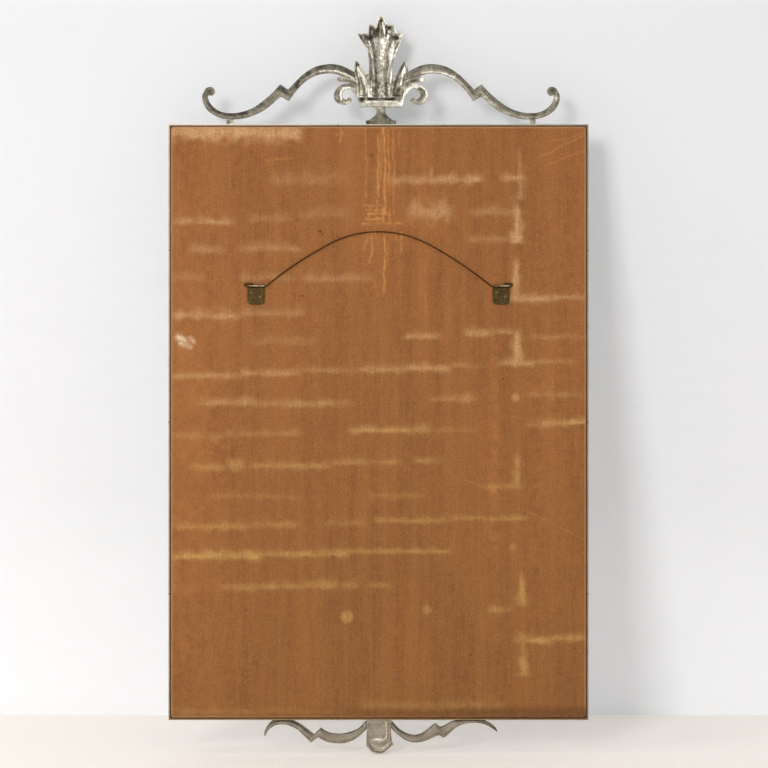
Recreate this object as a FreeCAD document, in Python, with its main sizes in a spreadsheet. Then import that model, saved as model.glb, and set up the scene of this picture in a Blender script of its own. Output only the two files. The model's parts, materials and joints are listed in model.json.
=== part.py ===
import FreeCAD, Part
import os

import Sketcher
from FreeCAD import Placement, Rotation, Vector

# Pewter wall mirror, in millimetres. The looking side faces -Y, the wall is at +Y and up is +Z.
# The origin is the underside of the hanging wire at the middle of its arch, where the wall hook
# carries it. Left and right are those of a person who looks into the mirror.

SIZES = (
    ("frame_width", 420.0, "outer width of the pewter frame"),
    ("frame_height", 596.0, "outer height of the pewter frame"),
    ("rail_wall", 1.3, "thickness of the frame's side wall"),
    ("lip_width", 9.5, "front lip, from the outer face to the sight edge"),
    ("lip_thickness", 3.0, "front lip, from the front plane to the glass"),
    ("lip_bead", 3.6, "width of the raised bead along the outer edge of the lip"),
    ("lip_step", 0.9, "step down from the bead to the flat of the lip"),
    ("lip_fall", 0.8, "further fall from the step to the sight edge"),
    ("rim_edge_bevel", 0.9, "bevel where the front meets the side wall"),
    ("glass_thickness", 4.0, "mirror plate"),
    ("glass_gap", 0.6, "play between the mirror plate and the side walls"),
    ("packing_thickness", 1.0, "card between the mirror plate and the board"),
    ("board_thickness", 3.2, "hardboard back"),
    ("board_gap", 1.0, "play between the board and the side walls"),
    ("board_corner", 4.0, "radius of the board's worn corners"),
    ("rim_proud", 1.0, "how far the pewter rim stands behind the board"),
    ("rim_pin_radius", 0.6, "shank of the pins that hold the board"),
    ("rim_pin_head_radius", 1.2, "head of those pins"),
    ("rim_pin_head", 0.5, "height of their heads"),
    ("rim_pin_grip", 3.0, "length of the pins inside the board's edge"),
    ("rim_pin_pitch_across", 106.0, "spacing of the two pins in a rail"),
    ("rim_pin_shift", 12.5, "how far that pair is off the frame's middle"),
    ("rim_pin_pitch_up", 172.0, "spacing of the three pins in a stile"),
    ("fit_play", 0.05, "radial play of a pin in its hole"),
    ("hanger_spread", 245.2, "from the middle of one hanger to the middle of the other"),
    ("hanger_drop", 162.2, "from the frame's top edge down to the hangers' barrels"),
    ("plate_width", 17.0, "hanger plate"),
    ("plate_length", 18.2, "hanger plate, below the middle of the barrel"),
    ("plate_corner", 4.5, "radius of the plate's lower corners"),
    ("strap_thickness", 0.7, "brass strap, folded double in the plate"),
    ("wire_radius", 0.75, "hanging wire"),
    ("barrel_play", 0.05, "radial play of the wire in a barrel"),
    ("barrel_lift", 0.1, "gap between a barrel and the board"),
    ("plate_pin_radius", 0.7, "shank of the pins through a hanger plate"),
    ("plate_pin_head_radius", 1.5, "head of those pins"),
    ("plate_pin_head", 0.6, "height of their heads"),
    ("plate_pin_grip", 2.6, "length of the pins inside the board"),
    ("upper_pin_side", 4.6, "upper pin, sideways from the plate's middle"),
    ("upper_pin_drop", 6.0, "upper pin, below the barrel"),
    ("lower_pin_side", 4.1, "lower pin, sideways from the plate's middle"),
    ("lower_pin_drop", 10.4, "lower pin, below the barrel"),
    ("crown_radius", 105.0, "arch of the wire at the hook"),
    ("crown_angle", 28.0, "degrees that the arch takes on each side"),
    ("flank_angle", 39.4, "degrees of the wire's slope where it meets a barrel"),
    ("wire_bend_radius", 2.4, "bend of the wire into a barrel"),
    ("wire_lead", 0.4, "straight wire between that bend and the barrel"),
    ("hairpin_reach", 1.2, "straight wire past the outer end of a barrel"),
    ("hairpin_radius", 1.4, "bends of the wire's turned-back end"),
    ("hairpin_return", 7.0, "length of the end that lies over the barrel"),
    ("crest_reach", 180.0, "crest, from its middle to the end of an arm"),
    ("crest_rise", 110.0, "crest, from the frame to the top of the palmette"),
    ("crest_shift", 2.5, "how far the crest sits off the frame's middle"),
    ("casting_edge", 1.0, "half the thickness of a scroll at its edges"),
    ("casting_ridge", 1.8, "half the thickness of a scroll at its ridge"),
    ("crest_eye_radius", 4.4, "rounded end of a crest arm"),
    ("crest_eye_depth", 4.2, "thickness of that end"),
    ("volute_eye_radius", 2.6, "rounded end of a volute"),
    ("volute_eye_depth", 4.0, "thickness of that end"),
    ("leaf_edge", 1.3, "half the thickness of a side leaf at its edges"),
    ("leaf_ridge", 2.4, "half the thickness of a side leaf at its rib"),
    ("palmette_depth", 5.2, "hollow of the palmette, seen from behind"),
    ("palmette_skin", 1.7, "thickness of the palmette's casting"),
    ("tray_depth", 8.0, "tray under the palmette, front to back"),
    ("tray_recess_depth", 5.5, "recess behind the foot of the palmette"),
    ("foot_depth", 7.0, "bell foot, front to back"),
    ("peg_width", 7.0, "peg under a crest arm"),
    ("peg_depth", 1.8, "peg under a crest arm, front to back"),
    ("apron_reach", 116.0, "apron, from its middle to the end of an arm"),
    ("apron_drop", 34.0, "apron, from the frame to the tip of the leaf"),
    ("apron_shift", 1.0, "how far the apron sits off the frame's middle"),
    ("shell_depth", 8.0, "apron leaf, front to back"),
    ("shell_hollow", 5.5, "hollow of the apron leaf, seen from behind"),
    ("overrun", 1.0, "how far a cut runs past what it cuts"),
)

# Outlines of the castings. Each pair is a share of the ornament's reach, outward from its
# middle, and a share of its rise or drop, away from the frame. A scroll is a row of rungs: the
# n-th pair of one edge stands across from the n-th pair of the other edge.
ARM_INNER_TOP_SHARES = (
    (0.133, 0.468), (0.183, 0.511), (0.222, 0.538), (0.269, 0.552), (0.319, 0.547),
    (0.367, 0.526), (0.411, 0.487), (0.450, 0.435), (0.486, 0.375), (0.518, 0.320),
)
ARM_INNER_BELOW_SHARES = (
    (0.133, 0.386), (0.183, 0.420), (0.222, 0.445), (0.264, 0.465), (0.308, 0.467),
    (0.350, 0.455), (0.386, 0.431), (0.422, 0.392), (0.458, 0.336), (0.514, 0.215),
)
ARM_OUTER_TOP_SHARES = (
    (0.561, 0.369), (0.589, 0.318), (0.622, 0.265), (0.667, 0.204), (0.711, 0.156),
    (0.761, 0.123), (0.817, 0.106), (0.867, 0.109), (0.906, 0.130), (0.936, 0.166),
    (0.956, 0.212), (0.963, 0.260), (0.959, 0.286),
)
ARM_OUTER_BELOW_SHARES = (
    (0.556, 0.255), (0.575, 0.233), (0.603, 0.193), (0.644, 0.138), (0.694, 0.096),
    (0.750, 0.063), (0.817, 0.048), (0.878, 0.056), (0.928, 0.086), (0.967, 0.132),
    (0.989, 0.192), (0.996, 0.251), (0.985, 0.302),
)
ARM_EYE_SHARE = (0.949, 0.304)
PEG_SHARE = (0.842, 0.060)
LEAF_INNER_SHARES = (
    (0.056, 0.247), (0.059, 0.300), (0.068, 0.355), (0.079, 0.424),
    (0.094, 0.483), (0.110, 0.528), (0.129, 0.573), (0.138, 0.585),
)
LEAF_OUTER_SHARES = (
    (0.131, 0.247), (0.133, 0.300), (0.134, 0.366), (0.141, 0.424),
    (0.150, 0.483), (0.148, 0.528), (0.144, 0.573), (0.141, 0.585),
)
VOLUTE_OUTER_SHARES = (
    (0.128, 0.365), (0.161, 0.373), (0.189, 0.374), (0.217, 0.366), (0.241, 0.342), (0.257, 0.307),
    (0.264, 0.267), (0.259, 0.227), (0.239, 0.195), (0.214, 0.182), (0.189, 0.185), (0.172, 0.203),
)
VOLUTE_INNER_SHARES = (
    (0.128, 0.249), (0.153, 0.299), (0.175, 0.325), (0.193, 0.322), (0.208, 0.304), (0.216, 0.280),
    (0.216, 0.258), (0.209, 0.240), (0.199, 0.232), (0.188, 0.231), (0.178, 0.234), (0.170, 0.232),
)
VOLUTE_EYE_SHARE = (0.177, 0.223)
LEAFLET_TOP_SHARES = ((0.128, 0.414), (0.161, 0.423), (0.194, 0.434), (0.228, 0.437), (0.243, 0.425))
LEAFLET_BELOW_SHARES = ((0.128, 0.362), (0.161, 0.372), (0.194, 0.384), (0.228, 0.390), (0.244, 0.404))
PALMETTE_NEAR_SHARES = (
    (-0.069, 0.247), (-0.064, 0.401), (-0.067, 0.492), (-0.069, 0.583), (-0.075, 0.646),
    (-0.083, 0.692), (-0.100, 0.737), (-0.117, 0.783), (-0.131, 0.828),
)
PALMETTE_TIP_SHARES = (
    (-0.072, 0.828), (-0.069, 0.892), (-0.064, 0.915), (-0.044, 0.905), (-0.028, 0.883),
    (-0.017, 0.946), (-0.003, 1.000), (0.011, 0.978), (0.022, 0.937), (0.039, 0.910),
    (0.072, 0.910), (0.078, 0.874), (0.083, 0.837), (0.117, 0.824),
)
PALMETTE_FAR_SHARES = (
    (0.128, 0.819), (0.111, 0.765), (0.100, 0.710), (0.083, 0.646), (0.072, 0.583),
    (0.064, 0.510), (0.058, 0.419), (0.053, 0.328), (0.056, 0.247),
)
# Half widths of the palmette's hollow sheet at four heights, a little past its outline.
PALMETTE_FLARE_SHARES = ((0.240, 0.080), (0.560, 0.082), (0.760, 0.122), (1.010, 0.150))
# The sheet's section: share of the half width, and share of the depth towards the back.
PALMETTE_FLUTE_SHARES = (
    (-1.0, 1.0), (-0.80, 0.62), (-0.60, 0.90), (-0.30, 0.26), (0.0, 0.06),
    (0.30, 0.26), (0.60, 0.90), (0.80, 0.62), (1.0, 1.0),
)
TRAY_BOTTOM_SHARE = (0.118, 0.160)
TRAY_TOP_SHARE = (0.131, 0.247)
TRAY_RECESS_SHARES = (0.075, 0.218)
FOOT_SHARES = ((0.025, 0.110), (0.029, 0.093), (0.041, 0.071), (0.061, 0.046), (0.084, 0.035))

# The apron's arms were bent by hand, so each has its own outline.
APRON_ARM_SHARES = {
    "right": (
        (((0.099, 0.000), (0.134, 0.088), (0.168, 0.218), (0.216, 0.318), (0.267, 0.376),
          (0.328, 0.418), (0.388, 0.412), (0.440, 0.374), (0.504, 0.241)),
         ((0.099, 0.235), (0.128, 0.341), (0.168, 0.471), (0.211, 0.582), (0.263, 0.662),
          (0.323, 0.706), (0.392, 0.703), (0.457, 0.656), (0.530, 0.521))),
        (((0.565, 0.432), (0.603, 0.332), (0.642, 0.226), (0.685, 0.124), (0.737, 0.035), (0.784, 0.000),
          (0.871, 0.000), (0.927, 0.035), (0.961, 0.147), (0.987, 0.294), (0.996, 0.470)),
         ((0.591, 0.682), (0.634, 0.541), (0.672, 0.421), (0.714, 0.294), (0.759, 0.212), (0.806, 0.159),
          (0.862, 0.153), (0.914, 0.200), (0.947, 0.276), (0.972, 0.388), (0.990, 0.518))),
    ),
    "left": (
        (((0.091, 0.000), (0.125, 0.118), (0.159, 0.241), (0.203, 0.350), (0.246, 0.418),
          (0.293, 0.453), (0.345, 0.426), (0.397, 0.335), (0.440, 0.218), (0.483, 0.109)),
         ((0.091, 0.218), (0.125, 0.353), (0.164, 0.471), (0.207, 0.574), (0.254, 0.656),
          (0.310, 0.682), (0.371, 0.659), (0.431, 0.588), (0.474, 0.515), (0.513, 0.468))),
        (((0.522, 0.212), (0.573, 0.150), (0.610, 0.076), (0.655, 0.026), (0.716, 0.006), (0.776, 0.000),
          (0.836, 0.000), (0.897, 0.012), (0.944, 0.079), (0.987, 0.188), (1.017, 0.320)),
         ((0.556, 0.544), (0.591, 0.450), (0.629, 0.332), (0.672, 0.221), (0.720, 0.147), (0.776, 0.109),
          (0.849, 0.109), (0.909, 0.153), (0.953, 0.224), (0.987, 0.300), (1.014, 0.376))),
    ),
}
SHELL_SIDE_SHARES = ((-0.116, 0.000), (-0.108, 0.241), (-0.112, 0.535), (-0.116, 0.771))
SHELL_TIP_SHARES = (
    (-0.116, 0.771), (-0.091, 0.859), (-0.065, 0.947), (-0.013, 0.991),
    (0.030, 0.976), (0.065, 0.888), (0.091, 0.815), (0.121, 0.741),
)
SHELL_FAR_SHARES = ((0.121, 0.741), (0.108, 0.594), (0.099, 0.300), (0.108, 0.000))
SHELL_HOLLOW_SHARE = 0.78
RIDGE_SHARE = 0.43
HEAD_TAPER_SHARE = 0.6
# How close to a corner an edge lies to be rounded, as a share of the radius, and how straight.
SNAP_SHARE = 0.01
# Degrees from one side of the frame to the next.
QUARTER_TURN = 90

# Worked-out sizes, as expressions over the sheet.
FRAME_DEPTH = ("(Sizes.lip_thickness + Sizes.glass_thickness + Sizes.packing_thickness"
               " + Sizes.board_thickness + Sizes.rim_proud)")
GLASS_PLAY = "(Sizes.rail_wall + Sizes.glass_gap)"
BOARD_PLAY = "(Sizes.rail_wall + Sizes.board_gap)"
BOARD_WIDTH = f"(Sizes.frame_width - 2 * {BOARD_PLAY})"
BOARD_HEIGHT = f"(Sizes.frame_height - 2 * {BOARD_PLAY})"
BORE_RADIUS = "(Sizes.wire_radius + Sizes.barrel_play)"
BARREL_RADIUS = f"({BORE_RADIUS} + Sizes.strap_thickness)"
# The flank of the wire is the arc that joins the crown to the bend at the barrel.
BEND_END_X = "((Sizes.hanger_spread - Sizes.plate_width) / 2 - Sizes.wire_lead)"
FLANK_END_X = f"({BEND_END_X} - Sizes.wire_bend_radius * sin(Sizes.flank_angle))"
FLANK_RADIUS = (f"(({FLANK_END_X} - Sizes.crown_radius * sin(Sizes.crown_angle))"
                " / (sin(Sizes.flank_angle) - sin(Sizes.crown_angle)))")
WIRE_RISE = ("(Sizes.crown_radius * (1 - cos(Sizes.crown_angle))"
             f" + {FLANK_RADIUS} * (cos(Sizes.crown_angle) - cos(Sizes.flank_angle))"
             " + Sizes.wire_bend_radius * (1 - cos(Sizes.flank_angle)))")
# Places in the part's own frame. The wire's middle line lies in the plane Y = 0.
BARREL_Z = f"(Sizes.wire_radius - {WIRE_RISE})"
BOARD_BACK_Y = f"(0 - {BARREL_RADIUS} - Sizes.barrel_lift)"
FRONT_Y = f"({BOARD_BACK_Y} + Sizes.rim_proud - {FRAME_DEPTH})"
CASTING_Y = f"({FRONT_Y} + {FRAME_DEPTH} / 2)"
FRAME_TOP_Z = f"({BARREL_Z} + Sizes.hanger_drop)"
FRAME_BOTTOM_Z = f"({FRAME_TOP_Z} - Sizes.frame_height)"
FRAME_MIDDLE_Z = f"({FRAME_TOP_Z} - Sizes.frame_height / 2)"
RIM_PIN_DEPTH = f"({FRAME_DEPTH} - Sizes.rim_proud - Sizes.board_thickness / 2)"

doc = FreeCAD.newDocument("pewter_mirror")
sheet = doc.addObject("Spreadsheet::Sheet", "Sizes")
parts = []


def fill_sheet():
    """Write each driving size and its meaning into the sheet."""
    for row, (alias, number, meaning) in enumerate(SIZES, start=1):
        sheet.set(f"A{row}", meaning)
        sheet.set(f"B{row}", str(number))
        sheet.setAlias(f"B{row}", alias)
    doc.recompute()


def value(expression):
    """The number that an expression over the sheet gives."""
    return float(sheet.evalExpression(expression))


def size(alias):
    """One driving size."""
    return value(f"Sizes.{alias}")


def keep(piece, name):
    """Name a finished piece and list it for the hand-over."""
    piece.Label = name
    parts.append(piece)
    return piece


def bind_place(piece, x="0", y="0", z="0"):
    """Tie a piece's place to the sheet."""
    for axis, expression in zip("xyz", (x, y, z)):
        piece.setExpression(f"Placement.Base.{axis}", expression)


def origin_plane(body, role):
    """One of a body's own planes."""
    return next(item for item in body.Origin.OriginFeatures if item.Role == role)


def add_sketch(body, name, role, offset="0"):
    """A sketch on one of the body's planes, moved along that plane's normal."""
    sketch = body.newObject("Sketcher::SketchObject", name)
    sketch.AttachmentSupport = (origin_plane(body, role), [""])
    sketch.MapMode = "FlatFace"
    sketch.setExpression("AttachmentOffset.Base.z", offset)
    return sketch


def pin_point(sketch, geometry, spot, x, y, guess):
    """Hold a point of the sketch at a place that the sheet gives."""
    for kind, expression, start in (("DistanceX", x, guess.x), ("DistanceY", y, guess.y)):
        index = sketch.addConstraint(Sketcher.Constraint(kind, -1, 1, geometry, spot, start))
        sketch.setExpression(f"Constraints[{index}]", expression)


def add_polygon(sketch, corners):
    """A closed outline of straight lines through corners given as expressions."""
    spots = [Vector(value(x), value(y), 0) for x, y in corners]
    count = len(spots)
    for number in range(count):
        sketch.addGeometry(Part.LineSegment(spots[number], spots[(number + 1) % count]), False)
    for number in range(count):
        sketch.addConstraint(Sketcher.Constraint("Coincident", number, 2, (number + 1) % count, 1))
    for number, (x, y) in enumerate(corners):
        pin_point(sketch, number, 1, x, y, spots[number])


def add_circle(sketch, x, y, radius):
    """A circle whose centre and radius are expressions."""
    centre = Vector(value(x), value(y), 0)
    number = sketch.addGeometry(Part.Circle(centre, Vector(0, 0, 1), value(radius)), False)
    pin_point(sketch, number, 3, x, y, centre)
    index = sketch.addConstraint(Sketcher.Constraint("Radius", number, value(radius)))
    sketch.setExpression(f"Constraints[{index}]", radius)


def add_pad(body, sketch, length, symmetric=False, reverse=False):
    """Raise a sketch into a solid."""
    pad = body.newObject("PartDesign::Pad", f"{sketch.Name}_pad")
    pad.Profile = sketch
    pad.setExpression("Length", length)
    if symmetric:
        pad.SideType = "Symmetric"
    pad.Reversed = reverse
    doc.recompute()
    return pad


def add_pocket(body, sketch, length, symmetric=False, reverse=False):
    """Cut a sketch out of the body, and make sure that it met the solid."""
    before = body.Shape.Volume
    pocket = body.newObject("PartDesign::Pocket", f"{sketch.Name}_pocket")
    pocket.Profile = sketch
    pocket.setExpression("Length", length)
    if symmetric:
        pocket.SideType = "Symmetric"
    pocket.Reversed = reverse
    doc.recompute()
    if body.Shape.Volume >= before:
        raise RuntimeError(f"{pocket.Name} cuts nothing")
    return pocket


def round_corners(body, feature, direction, places, radius):
    """Round the edges that run along a direction through the given places."""
    names = []
    reach = value(radius) * SNAP_SHARE
    for number, edge in enumerate(feature.Shape.Edges, start=1):
        slant = edge.tangentAt(edge.FirstParameter).cross(direction).Length
        distance = min((edge.CenterOfMass - place).cross(direction).Length for place in places)
        if slant < SNAP_SHARE and distance < reach:
            names.append(f"Edge{number}")
    fillet = body.newObject("PartDesign::Fillet", f"{feature.Name}_round")
    fillet.Base = (feature, names)
    fillet.setExpression("Radius", radius)
    doc.recompute()
    return fillet


def frame_rail(name, length, pin_places, turn, x, z):
    """One side of the frame. It is drawn as the top rail: outer face at Z = 0, front at Y = 0."""
    body = doc.addObject("PartDesign::Body", name)
    section = add_sketch(body, f"{name}_section", "YZ_Plane")
    lip_back = "(0 - Sizes.lip_width)"
    flat_y = "Sizes.lip_step"
    sight_y = "(Sizes.lip_step + Sizes.lip_fall)"
    add_polygon(section, (
        (FRAME_DEPTH, "0"),
        ("Sizes.rim_edge_bevel", "0"),
        ("0", "0 - Sizes.rim_edge_bevel"),
        ("0", "0 - Sizes.lip_bead"),
        (flat_y, "0 - Sizes.lip_bead - Sizes.lip_step"),
        (sight_y, lip_back),
        ("Sizes.lip_thickness", lip_back),
        ("Sizes.lip_thickness", "0 - Sizes.rail_wall"),
        (FRAME_DEPTH, "0 - Sizes.rail_wall"),
    ))
    add_pad(body, section, length, symmetric=True)
    half = f"({length} / 2)"
    inner = "(Sizes.lip_width + Sizes.overrun)"
    for side, sign in (("a", ""), ("b", "0 - ")):
        mitre = add_sketch(body, f"{name}_mitre_{side}", "XZ_Plane", f"0 - {FRAME_DEPTH} / 2")
        add_polygon(mitre, (
            (f"{sign}({half} + Sizes.overrun)", "Sizes.overrun"),
            (f"{sign}({half} - {inner})", f"0 - {inner}"),
            (f"{sign}({half} + Sizes.overrun)", f"0 - {inner}"),
        ))
        add_pocket(body, mitre, f"{FRAME_DEPTH} + 2 * Sizes.overrun", symmetric=True)
    holes = add_sketch(body, f"{name}_holes", "XY_Plane")
    for place in pin_places:
        add_circle(holes, place, RIM_PIN_DEPTH, "Sizes.rim_pin_radius + Sizes.fit_play")
    add_pocket(body, holes, "Sizes.rail_wall + Sizes.overrun")
    body.Placement = Placement(Vector(), Rotation(Vector(0, 1, 0), turn))
    bind_place(body, x, FRONT_Y, z)
    return keep(body, name)


def rim_pin_places():
    """Along a horizontal and an upright side, where the pins go, from the side's middle."""
    shift = "Sizes.rim_pin_shift"
    half = "Sizes.rim_pin_pitch_across / 2"
    across = (f"0 - {shift} - {half}", f"{half} - {shift}")
    upright = ("0 - Sizes.rim_pin_pitch_up", "0", "Sizes.rim_pin_pitch_up")
    return across, upright


def build_frame():
    """Two rails and two stiles, mitred at the corners."""
    across, upright = rim_pin_places()
    turned_across = tuple(f"0 - ({place})" for place in across)
    edge = "Sizes.frame_width / 2"
    turn = QUARTER_TURN
    frame_rail("frame_top_rail", "Sizes.frame_width", across, 0, "0", FRAME_TOP_Z)
    frame_rail("frame_bottom_rail", "Sizes.frame_width", turned_across, 2 * turn, "0", FRAME_BOTTOM_Z)
    frame_rail("frame_right_stile", "Sizes.frame_height", upright, turn, edge, FRAME_MIDDLE_Z)
    frame_rail("frame_left_stile", "Sizes.frame_height", upright, -turn, f"0 - {edge}", FRAME_MIDDLE_Z)


def build_sheet(name, thickness, front):
    """A flat sheet that lies in the frame with the play of the mirror plate."""
    plate = doc.addObject("Part::Box", name)
    plate.setExpression("Length", f"Sizes.frame_width - 2 * {GLASS_PLAY}")
    plate.setExpression("Width", thickness)
    plate.setExpression("Height", f"Sizes.frame_height - 2 * {GLASS_PLAY}")
    bind_place(plate, f"{GLASS_PLAY} - Sizes.frame_width / 2", front, f"{FRAME_BOTTOM_Z} + {GLASS_PLAY}")
    return keep(plate, name)


def build_back_board():
    """The hardboard back, drilled for the rim pins and the hangers' pins. Its back is Y = 0."""
    body = doc.addObject("PartDesign::Body", "back_board")
    half_width = f"({BOARD_WIDTH} / 2)"
    half_height = f"({BOARD_HEIGHT} / 2)"
    outline = add_sketch(body, "board_outline", "XZ_Plane")
    add_polygon(outline, (
        (f"0 - {half_width}", f"0 - {half_height}"), (half_width, f"0 - {half_height}"),
        (half_width, half_height), (f"0 - {half_width}", half_height),
    ))
    blank = add_pad(body, outline, "Sizes.board_thickness")
    corner = Vector(value(half_width), 0, value(half_height))
    places = [Vector(sx * corner.x, 0, sz * corner.z) for sx in (-1, 1) for sz in (-1, 1)]
    round_corners(body, blank, Vector(0, 1, 0), places, "Sizes.board_corner")
    across, upright = rim_pin_places()
    depth = "0 - Sizes.board_thickness / 2"
    radius = "Sizes.rim_pin_radius + Sizes.fit_play"
    grip = "Sizes.rim_pin_grip"
    for side, sign, reverse in (("top", "", False), ("bottom", "0 - ", True)):
        holes = add_sketch(body, f"board_{side}_holes", "XY_Plane", f"{sign}{half_height}")
        for place in across:
            add_circle(holes, place, depth, radius)
        add_pocket(body, holes, grip, reverse=reverse)
    for side, sign, reverse in (("right", "", False), ("left", "0 - ", True)):
        holes = add_sketch(body, f"board_{side}_holes", "YZ_Plane", f"{sign}{half_width}")
        for place in upright:
            add_circle(holes, depth, place, radius)
        add_pocket(body, holes, grip, reverse=reverse)
    seats = add_sketch(body, "board_hanger_holes", "XZ_Plane")
    for side in (-1, 1):
        for across_plate, drop in plate_pin_places():
            x = f"({side} * Sizes.hanger_spread / 2 + {across_plate})"
            z = f"({BARREL_Z} - {FRAME_MIDDLE_Z} - {drop})"
            add_circle(seats, x, z, "Sizes.plate_pin_radius + Sizes.fit_play")
    add_pocket(body, seats, "Sizes.plate_pin_grip", reverse=True)
    bind_place(body, "0", BOARD_BACK_Y, FRAME_MIDDLE_Z)
    return keep(body, "back_board")


def plate_pin_places():
    """Sideways place and drop below the barrel of the two pins in a hanger plate."""
    return (("Sizes.upper_pin_side", "Sizes.upper_pin_drop"),
            ("(0 - Sizes.lower_pin_side)", "Sizes.lower_pin_drop"))


def add_pin(name, turn, x, y, z, radius, head_radius, head, shank):
    """A pin whose head sits on a face. Before it is turned, the shank points down -Z."""
    shank_body = doc.addObject("Part::Cylinder", f"{name}_shank")
    shank_body.setExpression("Radius", radius)
    shank_body.setExpression("Height", shank)
    shank_body.setExpression("Placement.Base.z", f"0 - ({shank})")
    head_body = doc.addObject("Part::Cone", f"{name}_head")
    head_body.setExpression("Radius1", head_radius)
    head_body.setExpression("Radius2", f"{head_radius} * {HEAD_TAPER_SHARE}")
    head_body.setExpression("Height", head)
    pin = doc.addObject("Part::Fuse", name)
    pin.Base = shank_body
    pin.Tool = head_body
    pin.Placement = Placement(Vector(), turn)
    bind_place(pin, x, y, z)
    return pin


def group(name, pieces):
    """Identical fasteners as one piece."""
    compound = doc.addObject("Part::Compound", name)
    compound.Links = pieces
    return keep(compound, name)


def build_rim_pins():
    """Small pins through the side walls into the board's edges."""
    across, upright = rim_pin_places()
    y = f"{FRONT_Y} + {RIM_PIN_DEPTH}"
    shank = "Sizes.rail_wall + Sizes.board_gap + Sizes.rim_pin_grip"
    sizes = ("Sizes.rim_pin_radius", "Sizes.rim_pin_head_radius", "Sizes.rim_pin_head", shank)
    edge = "Sizes.frame_width / 2"
    pins = []
    for number, place in enumerate(across, start=1):
        pins.append(add_pin(f"top_pin_{number}", Rotation(), place, y, FRAME_TOP_Z, *sizes))
        turn = Rotation(Vector(1, 0, 0), 2 * QUARTER_TURN)
        pins.append(add_pin(f"bottom_pin_{number}", turn, place, y, FRAME_BOTTOM_Z, *sizes))
    for number, place in enumerate(upright, start=1):
        z = f"{FRAME_MIDDLE_Z} + {place}"
        turn = Rotation(Vector(0, 1, 0), QUARTER_TURN)
        pins.append(add_pin(f"right_pin_{number}", turn, edge, y, z, *sizes))
        turn = Rotation(Vector(0, 1, 0), -QUARTER_TURN)
        pins.append(add_pin(f"left_pin_{number}", turn, f"0 - {edge}", y, z, *sizes))
    return group("rim_pins", pins)


def build_hanger(name, side):
    """A brass strap folded round the wire. Its own origin is the middle of the barrel."""
    body = doc.addObject("PartDesign::Body", name)
    half = "(Sizes.plate_width / 2)"
    seat = f"({BARREL_RADIUS} + Sizes.barrel_lift)"
    outline = add_sketch(body, f"{name}_outline", "XZ_Plane", seat)
    add_polygon(outline, (
        (f"0 - {half}", "0"), (f"0 - {half}", "0 - Sizes.plate_length"),
        (half, "0 - Sizes.plate_length"), (half, "0"),
    ))
    plate = add_pad(body, outline, "2 * Sizes.strap_thickness", reverse=True)
    foot = Vector(value(half), 0, -size("plate_length"))
    corners = (foot, Vector(-foot.x, 0, foot.z))
    round_corners(body, plate, Vector(0, 1, 0), corners, "Sizes.plate_corner")
    barrel = add_sketch(body, f"{name}_barrel", "YZ_Plane")
    add_circle(barrel, "0", "0", BARREL_RADIUS)
    add_pad(body, barrel, "Sizes.plate_width", symmetric=True)
    bore = add_sketch(body, f"{name}_bore", "YZ_Plane")
    add_circle(bore, "0", "0", BORE_RADIUS)
    add_pocket(body, bore, "Sizes.plate_width + Sizes.overrun", symmetric=True)
    holes = add_sketch(body, f"{name}_holes", "XZ_Plane")
    for across_plate, drop in plate_pin_places():
        add_circle(holes, across_plate, f"0 - {drop}", "Sizes.plate_pin_radius + Sizes.fit_play")
    add_pocket(body, holes, f"2 * ({seat} + Sizes.overrun)", symmetric=True)
    bind_place(body, f"{side} * Sizes.hanger_spread / 2", "0", BARREL_Z)
    return keep(body, name)


def build_hanger_pins(name, side):
    """The two pins through one hanger plate into the board."""
    back = f"({BOARD_BACK_Y} + 2 * Sizes.strap_thickness)"
    shank = "2 * Sizes.strap_thickness + Sizes.plate_pin_grip"
    turn = Rotation(Vector(1, 0, 0), -QUARTER_TURN)
    pins = []
    for number, (across_plate, drop) in enumerate(plate_pin_places(), start=1):
        x = f"{side} * Sizes.hanger_spread / 2 + {across_plate}"
        z = f"{BARREL_Z} - {drop}"
        pins.append(add_pin(f"{name}_{number}", turn, x, back, z, "Sizes.plate_pin_radius",
                            "Sizes.plate_pin_head_radius", "Sizes.plate_pin_head", shank))
    return group(name, pins)


def wire_arc(centre, radius, start, end):
    """An arc in the wire's plane. Angles are degrees from +X towards +Z."""
    spots = []
    for angle in (start, (start + end) / 2, end):
        spots.append(centre + Rotation(Vector(0, -1, 0), angle).multVec(Vector(radius, 0, 0)))
    return Part.Arc(*spots).toShape()


def half_wire():
    """The wire's middle line from the crown to its turned-back end, on the +X side."""
    crown = size("crown_radius")
    crown_angle = size("crown_angle")
    slope = size("flank_angle")
    flank = value(FLANK_RADIUS)
    bend = size("wire_bend_radius")
    level = -value(WIRE_RISE)
    hairpin = size("hairpin_radius")
    quarter = QUARTER_TURN
    crown_centre = Vector(0, 0, -crown)
    toward_flank = Rotation(Vector(0, -1, 0), quarter - crown_angle).multVec(Vector(1, 0, 0))
    flank_centre = crown_centre - toward_flank * (flank - crown)
    bend_centre = Vector(value(BEND_END_X), 0, level + bend)
    turn_x = (size("hanger_spread") + size("plate_width")) / 2 + size("hairpin_reach")
    return_z = level + 2 * hairpin
    tail_x = turn_x - size("hairpin_return")
    return (
        wire_arc(crown_centre, crown, quarter, quarter - crown_angle),
        wire_arc(flank_centre, flank, quarter - crown_angle, quarter - slope),
        wire_arc(bend_centre, bend, -quarter - slope, -quarter),
        Part.makeLine(Vector(bend_centre.x, 0, level), Vector(turn_x, 0, level)),
        wire_arc(Vector(turn_x, 0, level + hairpin), hairpin, -quarter, quarter),
        Part.makeLine(Vector(turn_x, 0, return_z), Vector(tail_x, 0, return_z)),
    )


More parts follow.
